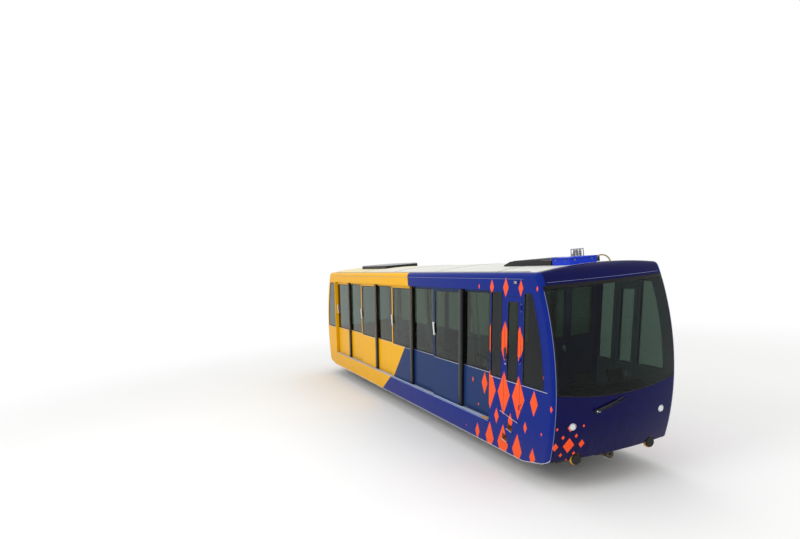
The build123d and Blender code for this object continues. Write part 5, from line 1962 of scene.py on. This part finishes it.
@dataclass
class UnderFittings(Fitting):
    """Pipes and clips along the sills, headstock bolts and covers of the power pack.

    Attributes:
        pipe_y: Distance of the pipes from the car's middle.
        pipe_x: Ends of the pipes.
        pipes: Height and radius of each pipe.
        stocks: Face of each headstock, and the way that it looks.
        stock_y: Distance of its bolts from the middle.
        stock_z: Heights of its bolts.
    """
    pipe_y: float = 0.925
    pipe_x: Pair = (-5.95, 5.85)
    pipes: Pairs = ((0.592, 0.013), (0.556, 0.009))
    stocks: tuple[tuple[float, int], ...] = ((6.200, 1), (-6.270, -1))
    stock_y: float = 0.868
    stock_z: Point = (0.500, 0.545, 0.590)

    def build(self) -> None:
        """Fit everything."""
        for side in Side:
            self.fit_pipes(side)
        self.pack()
        self.headstocks()

    def fit_pipes(self, side: Side) -> None:
        """Two hydraulic pipes in clips along one sill.

        Args:
            side: Side of the car.
        """
        pipes, clips = Form(), Form()
        y = side.value * self.pipe_y
        for z, radius in self.pipes:
            pipes.tube([(x, y, z) for x in self.pipe_x], radius)
        for i in range(12):
            x = -5.70 + i * 1.03
            y0, y1 = sorted((side.value * 0.899, y + side.value * 0.016))
            clips.block((x - 0.016, y0, 0.540), (x + 0.016, y1, 0.610), 0.004)
        self.shop.piece(f"{side.word}_pipes", pipes, PIPE, "frame_black")
        self.shop.piece(f"{side.word}_pipe_clips", clips, DARK)

    def pack(self) -> None:
        """Screwed covers, cooling ribs and filler of the brake power pack."""
        cover, bolts, ribs = Form(), Form(), Form()
        cover.block((-0.52, -0.707, 0.40), (0.66, -0.699, 0.575), 0.003)
        for i in range(7):
            for z in (0.418, 0.557):
                bolts.bolt((-0.49 + i * 0.185, -0.710, z), "Y", 0.007)
        for i in range(9):
            x = -0.50 + i * 0.12
            ribs.block((x, 0.645, 0.43), (x + 0.018, 0.668, 0.59), 0.004)
        ribs.turned([(0.0, 0.030), (0.030, 0.030), (0.034, 0.024), (0.034, 0.0), (0.0, 0.0)],
                    (-0.30, -0.475, 0.325), "Z", 24)
        self.shop.piece("pack_cover", cover, FRAME, "frame_black")
        self.shop.piece("pack_bolts", bolts, BOLT, "frame_black")
        self.shop.piece("pack_ribs", ribs, FRAME, "frame_black")

    def headstocks(self) -> None:
        """Bolts that hold both headstocks to the sills, and the rope socket's clamp ring."""
        form = Form()
        for x, way in self.stocks:
            for sign in (-1, 1):
                for z in self.stock_z:
                    form.bolt((x + way * 0.005, sign * self.stock_y, z), "X", 0.009)
        form.turned([(0.0705, -0.012), (0.084, -0.012), (0.084, 0.012), (0.0705, 0.012), (0.0705, -0.012)],
                    (6.300, 0.0, 0.452), "X", 32)
        self.shop.piece("headstock_bolts", form, BOLT, "frame_black")


@dataclass
class RunningGear(Fitting):
    """Axle collars, brake bolts, springs and wheel bolts of one bogie.

    Attributes:
        name: upper or lower.
        x: Place of the bogie's pivot.
        collar: Distance of the axle collars from the car's middle.
        wheels: Y of each wheel's web, and how far its bolts stand out from there.
        axle_end: Distance of the axle's ends from the middle.
        brake_y: Distance of the brakes' bolts from the middle.
        brake_z: Their height.
    """
    name: str
    x: float
    collar: float = 0.383
    wheels: Pairs = ((-0.532, -0.014 * 1.2), (0.532, 0.016 * 1.2))
    axle_end: float = 0.6035
    brake_y: float = 0.640
    brake_z: float = 0.172

    def build(self) -> None:
        """Fit frame and axles."""
        self.frame()
        for label, way in AXLES:
            self.axle(label, self.x + way * AXLE_REACH)

    def frame(self) -> None:
        """Collars at the axles, bolts on the brakes and rubber springs on the bolster."""
        body = f"{self.name}_bogie_frame"
        collars, bolts, springs = Form(), Form(), Form()
        for sign in (-1, 1):
            for way in (-1, 1):
                x = self.x + way * AXLE_REACH
                collars.turned([(0.058, -0.013), (0.094, -0.013), (0.100, -0.007), (0.100, 0.013),
                                (0.058, 0.013), (0.058, -0.013)], (x, sign * self.collar, AXLE_Z), "Y", 32)
                self.bolt_ring(bolts, (x, sign * (self.collar + 0.014), AXLE_Z), 0.080, 6, 0.007)
                springs.turned([(0.0, 0.0), (0.058, 0.0), (0.062, 0.008), (0.052, 0.014), (0.062, 0.020),
                                (0.052, 0.026), (0.062, 0.032), (0.058, 0.040), (0.0, 0.040)],
                               (self.x + way * 0.105, sign * 0.250, 0.498), "Z", 28)
            for dx in (-0.150, -0.050, 0.050, 0.150):
                bolts.bolt((self.x + dx, sign * self.brake_y, self.brake_z), "Y", 0.008)
        self.shop.piece(f"{self.name}_axle_collars", collars, CAST, "cast_frame", body)
        self.shop.piece(f"{self.name}_frame_bolts", bolts, BOLT, "cast_frame", body)
        self.shop.piece(f"{self.name}_springs", springs, SEAL, "buffer_rubber", body)

    def axle(self, label: str, x: float) -> None:
        """Bolt rings on both wheels, and the axle's end caps.

        Args:
            label: Letter of the axle.
            x: Place along the car.
        """
        form = Form()
        for y, face in self.wheels:
            self.bolt_ring(form, (x, y + face, AXLE_Z), 0.150, 8, 0.010)
            end = math.copysign(self.axle_end, y)
            form.disc((x, end, AXLE_Z), 0.043, 0.007, "Y", 0.002)
            self.bolt_ring(form, (x, end + math.copysign(0.005, y), AXLE_Z), 0.024, 3, 0.006)
        self.shop.piece(f"{self.name}_axle_{label}_bolts", form, BOLT, "steel_wheel",
                        f"{self.name}_axle_{label}")

    @staticmethod
    def bolt_ring(form: Form, centre: Point, radius: float, count: int, size: float) -> None:
        """Bolts in a ring about an axis across the car.

        Args:
            form: Mesh that they go into.
            centre: Middle of the ring.
            radius: Radius of the ring.
            count: How many there are.
            size: Radius of a bolt's head.
        """
        x, y, z = centre
        for i in range(count):
            turn = i * math.tau / count
            form.bolt((x + radius * math.cos(turn), y, z + radius * math.sin(turn)), "Y", size)


@dataclass
class Interior(Fitting):
    """Ceiling with its lamps, bulkhead trim, desk controls, seat seams and pole flanges.

    Attributes:
        floor: Finds the floor.
        ceiling_z: Underside of the ceiling.
        ceiling_y: Half its width.
        lights: Lowest and highest point of the bulkhead's windows.
        windows: Ends of each bulkhead window across the car.
        door: Lowest and highest corner of the bulkhead's door, as Y and Z.
        desk_z: Underside of the console.
        seat_y: Distance of the benches' back from the car's middle.
        pole_y: Distance of the poles from it.
    """
    floor: Skin
    ceiling_z: float = 3.432
    ceiling_y: float = 0.985
    lights: Pair = (2.172, 3.082)
    windows: Pairs = ((-0.940, -0.420), (-0.080, 0.340), (0.480, 0.940))
    door: Pairs = ((-0.170, 1.130), (0.430, 3.190))
    desk_z: float = 1.590
    seat_y: float = 0.990
    pole_y: float = 0.620

    def build(self) -> None:
        """Fit everything."""
        self.ceiling()
        self.bulkhead()
        self.desk()
        self.seats()
        self.poles()

    def ceiling(self) -> None:
        """Ceiling panels and two rows of lamps."""
        panels, lamps = Form(), Form()
        for x0, x1 in ((-5.30, 4.98), (5.16, 6.00)):
            panels.block((x0, -self.ceiling_y, self.ceiling_z), (x1, self.ceiling_y, self.ceiling_z + 0.012),
                         0.004)
        starts = [-4.95 + i * 1.32 for i in range(7)] + [5.25]
        for x in starts:
            for sign in (-1, 1):
                y0, y1 = sorted((sign * 0.31, sign * 0.43))
                lamps.block((x, y0, 3.418), (x + (0.62 if x > 5 else 1.10), y1, 3.433), 0.005)
        self.shop.piece("ceiling_panels", panels, LINING)
        self.shop.piece("ceiling_lamps", lamps, LAMP, "lamp_lens")

    def bulkhead(self) -> None:
        """Gaskets round the bulkhead's windows, the door's outline and its handle."""
        gaskets, door, handle = Form(), Form(), Form()
        (left, foot), (right, top) = self.door
        for shift in (0.059, 0.096):
            for y0, y1 in self.windows:
                gaskets.tube(self.on_bulkhead(shift, y0, y1, *self.lights, 0.02), 0.008, closed=True)
            door.tube(self.on_bulkhead(shift, left, right, foot, top, 0.03), 0.0035, closed=True)
        x = bar_x(MODULES, 1.95, 0.104)
        handle.block((x - 0.006, 0.330, 1.880), (x + 0.006, 0.372, 2.020), 0.003)
        handle.tube([(x, 0.351, 1.965), (x + 0.045, 0.351, 1.965), (x + 0.048, 0.250, 1.965)], 0.008)
        self.shop.piece("bulkhead_gaskets", gaskets, SEAL)
        self.shop.piece("bulkhead_door_line", door, DARK)
        self.shop.piece("bulkhead_handle", handle, CHROME, "pole_steel")

    @staticmethod
    def on_bulkhead(shift: float, y0: float, y1: float, low: float, high: float,
                    radius: float) -> list[Point]:
        """Rounded outline that leans with the bulkhead.

        Args:
            shift: Place along the car from the foremost door post.
            y0: Its right edge.
            y1: Its left edge.
            low: Its lowest edge.
            high: Its highest edge.
            radius: Radius of its corners.

        Returns:
            Its points.
        """
        outline = rounded([(y0, low), (y1, low), (y1, high), (y0, high)], radius)
        return [(bar_x(MODULES, z, shift), y, z) for y, z in outline]

    def desk(self) -> None:
        """Console top, two displays, buttons and the drive lever."""
        console, glass, knobs, red = Form(), Form(), Form(), Form()
        z = self.desk_z
        console.block((6.27, -0.66, z), (6.50, 0.66, z + 0.016), 0.006)
        console.block((6.30, -0.64, z + 0.010), (6.42, -0.18, z + 0.090), 0.02)
        for y in (-0.42, 0.22):
            console.block((6.395, y - 0.150, z + 0.022), (6.425, y + 0.150, z + 0.222), 0.008, -0.25)
            glass.block((6.392, y - 0.136, z + 0.038), (6.396, y + 0.136, z + 0.206), 0.001, -0.25)
        for row in range(2):
            for i in range(7):
                knobs.disc((6.29 + row * 0.045, -0.09 + i * 0.045, z + 0.021), 0.012, 0.012, "Z", 0.003, 18)
        knobs.tube([(6.33, 0.50, z + 0.010), (6.31, 0.50, z + 0.100)], 0.008)
        knobs.disc((6.308, 0.50, z + 0.110), 0.020, 0.034, "Z", 0.009)
        red.disc((6.34, 0.38, z + 0.028), 0.024, 0.022, "Z", 0.006)
        self.shop.piece("desk_console", console, PLASTIC)
        self.shop.piece("desk_displays", glass, DISPLAY)
        self.shop.piece("desk_knobs", knobs, CHROME, "pole_steel")
        self.shop.piece("desk_stop", red, RED)

    def seats(self) -> None:
        """Steel rail on each bench's back and two seat divisions."""
        rails, lines = Form(), Form()
        for k in range(MODULES):
            x, z = bar_x(k, BENCH_Z, PITCH * 0.75), BENCH_Z
            for sign in (-1, 1):
                rail = ((-0.46, 1.012, 0.818), (-0.44, self.seat_y, 0.860), (0.44, self.seat_y, 0.860),
                        (0.46, 1.012, 0.818))
                rails.tube([(x + dx, sign * y, z + rise) for dx, y, rise in rail], 0.011)
                seam = ((0.560, 0.418), (0.625, 0.456), (0.935, 0.431), (0.964, 0.472),
                        (self.seat_y + 0.001, 0.800))
                for dx in (-0.16, 0.16):
                    lines.tube([(x + dx, sign * y, z + rise) for y, rise in seam], 0.0045)
        self.shop.piece("bench_rails", rails, CHROME, "pole_steel")
        self.shop.piece("bench_lines", lines, DARK, "seat_shell")

    def poles(self) -> None:
        """Flanges where the poles meet floor and ceiling."""
        form = Form()
        for k in range(MODULES):
            x = bar_x(k, BENCH_Z, PITCH * 0.54)
            for y in (-self.pole_y, self.pole_y):
                z = self.floor.hit((x, y, 1.9), (0.0, 0.0, -1.0)).z
                form.turned([(0.0175, 0.002), (0.044, 0.002), (0.044, 0.008), (0.026, 0.016),
                             (0.0175, 0.030)], (x, y, z), "Z")
                form.turned([(0.0175, -0.002), (0.040, -0.002), (0.040, -0.008), (0.024, -0.016),
                             (0.0175, -0.026)], (x, y, self.ceiling_z), "Z")
        self.shop.piece("pole_flanges", form, CHROME, "pole_steel")


@dataclass
class Studio:
    """Camera, lights, floor and background.

    Attributes:
        eye: Place of the camera.
        yaw: Direction it looks in, from +X, in degrees.
        pitch: How far it looks down, in degrees.
        roll: How far it is tilted, in degrees.
        focal: Focal length in pixels of the image.
        fade: Distances from the middle between which the floor turns white.
        lamps: Name, place, aim, size and power of each light.
    """
    eye: Point = (14.408, -6.505, 3.9585)
    yaw: float = 158.76
    pitch: float = 1.45
    roll: float = -4.57
    focal: float = 610.2
    fade: Pair = (6.5, 17.0)
    lamps: tuple[tuple[str, Point, Point, float, float], ...] = (
        ("key", (7.0, -14.0, 11.0), (1.0, 0.0, 1.6), 7.0, 900.0),
        ("fill", (18.0, 3.0, 7.0), (4.0, 0.0, 1.6), 6.0, 260.0),
        ("top", (-1.0, 2.0, 13.0), (0.0, 0.0, 2.0), 10.0, 400.0))

    def build(self) -> None:
        """Set the stage."""
        self.camera()
        self.floor()
        self.world()
        self.lights()
        bpy.context.scene.view_settings.view_transform = "Standard"

    def camera(self) -> None:
        """Camera at the photograph's place, level of its axes kept."""
        data = bpy.data.cameras.new("camera")
        data.sensor_width = 36.0
        data.lens = self.focal / IMAGE_SIZE[0] * data.sensor_width
        data.clip_end = 500.0
        yaw, pitch, roll = (math.radians(a) for a in (self.yaw, self.pitch, self.roll))
        ahead = Vector((math.cos(pitch) * math.cos(yaw), math.cos(pitch) * math.sin(yaw), -math.sin(pitch)))
        right = ahead.cross(Vector((0, 0, 1))).normalized()
        up = right.cross(ahead)
        right, up = [right * math.cos(a) + up * math.sin(a) for a in (roll, roll + math.pi / 2)]
        obj = bpy.data.objects.new("camera", data)
        turn = Matrix((right, up, -ahead)).transposed().to_4x4()
        obj.matrix_world = Matrix.Translation(self.eye) @ turn
        bpy.context.scene.collection.objects.link(obj)
        bpy.context.scene.camera = obj

    def floor(self) -> None:
        """Wide pale floor."""
        bm = bmesh.new()
        bmesh.ops.create_grid(bm, x_segments=8, y_segments=8, size=120.0)
        data = bpy.data.meshes.new("floor")
        bm.to_mesh(data)
        bm.free()
        obj = bpy.data.objects.new("floor", data)
        bpy.context.scene.collection.objects.link(obj)
        shader = Shader("floor_matte")
        place = shader.place()
        tone = shader.noise(place, 0.4, 3.0)
        shader.set(Base_Color=shader.mix(tone, srgb("F4F4F3"), srgb("F8F8F7")), Roughness=0.95,
                   Specular_IOR_Level=0.1)
        away = shader.add("ShaderNodeVectorMath", {0: place}, operation="LENGTH").outputs["Value"]
        glow = shader.add("ShaderNodeEmission", {"Color": (1.0, 1.0, 1.0, 1.0), "Strength": 1.0})
        white = shader.smooth(away, *self.fade)
        near, far = shader.surface.outputs[0], glow.outputs[0]
        blend = shader.add("ShaderNodeMixShader", {0: white, 1: near, 2: far})
        shader.feed(shader.tree.nodes["Material Output"].inputs["Surface"], blend.outputs[0])
        data.materials.append(shader.material)

    def world(self) -> None:
        """White to the camera, reflections and glass, and a little dimmer as a light."""
        world = bpy.data.worlds.new("studio")
        world.use_nodes = True
        bpy.context.scene.world = world
        g = Graph(world.node_tree)
        back = world.node_tree.nodes["Background"]
        path = g.add("ShaderNodeLightPath")
        seen = g.math("MAXIMUM", path.outputs["Is Camera Ray"], path.outputs["Is Glossy Ray"])
        seen = g.math("MAXIMUM", seen, path.outputs["Is Transmission Ray"])
        g.feed(back.inputs["Color"], (1.0, 1.0, 1.0, 1.0))
        g.feed(back.inputs["Strength"], g.between(seen, 0.80, 1.0))

    def lights(self) -> None:
        """Large soft key, fill and top lights."""
        for name, at, to, size, watts in self.lamps:
            data = bpy.data.lights.new(name, "AREA")
            data.size = size
            data.energy = watts
            obj = bpy.data.objects.new(name, data)
            obj.visible_glossy = False
            turn = (Vector(to) - Vector(at)).to_track_quat("-Z", "Y").to_matrix().to_4x4()
            obj.matrix_world = Matrix.Translation(at) @ turn
            bpy.context.scene.collection.objects.link(obj)


def main(frame: dict) -> None:
    """Build everything in order.
    """
    logging.basicConfig(level=logging.INFO, format="%(message)s")
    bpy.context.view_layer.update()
    Studio().build()
    log.info("studio: camera, three lights, floor")
    shop = Workshop()
    skin = Skin(frame["nodes"])
    log.info("cad nodes dressed: %d", CadDress(shop, frame["nodes"]).build())
    for part in (SlidingDoors(shop), SideWindows(shop), NoseTrim(shop, skin, FRONT, "front"),
                 NoseTrim(shop, skin, REAR, "rear"), SideTrim(shop, skin), CabDoors(shop),
                 EndFittings(shop, skin, 1, 6.515, 6.200), EndFittings(shop, skin, -1, -6.815, -6.270),
                 RoofFittings(shop, skin), UnderFittings(shop), *(RunningGear(shop, *row) for row in BOGIES),
                 Interior(shop, Skin(frame["nodes"], ("stepped_floor",)))):
        before = shop.count
        part.build()
        log.info("%s: %d pieces", type(part).__name__, shop.count - before)
    bpy.context.view_layer.update()


if __name__ == "__main__":
    main(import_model())
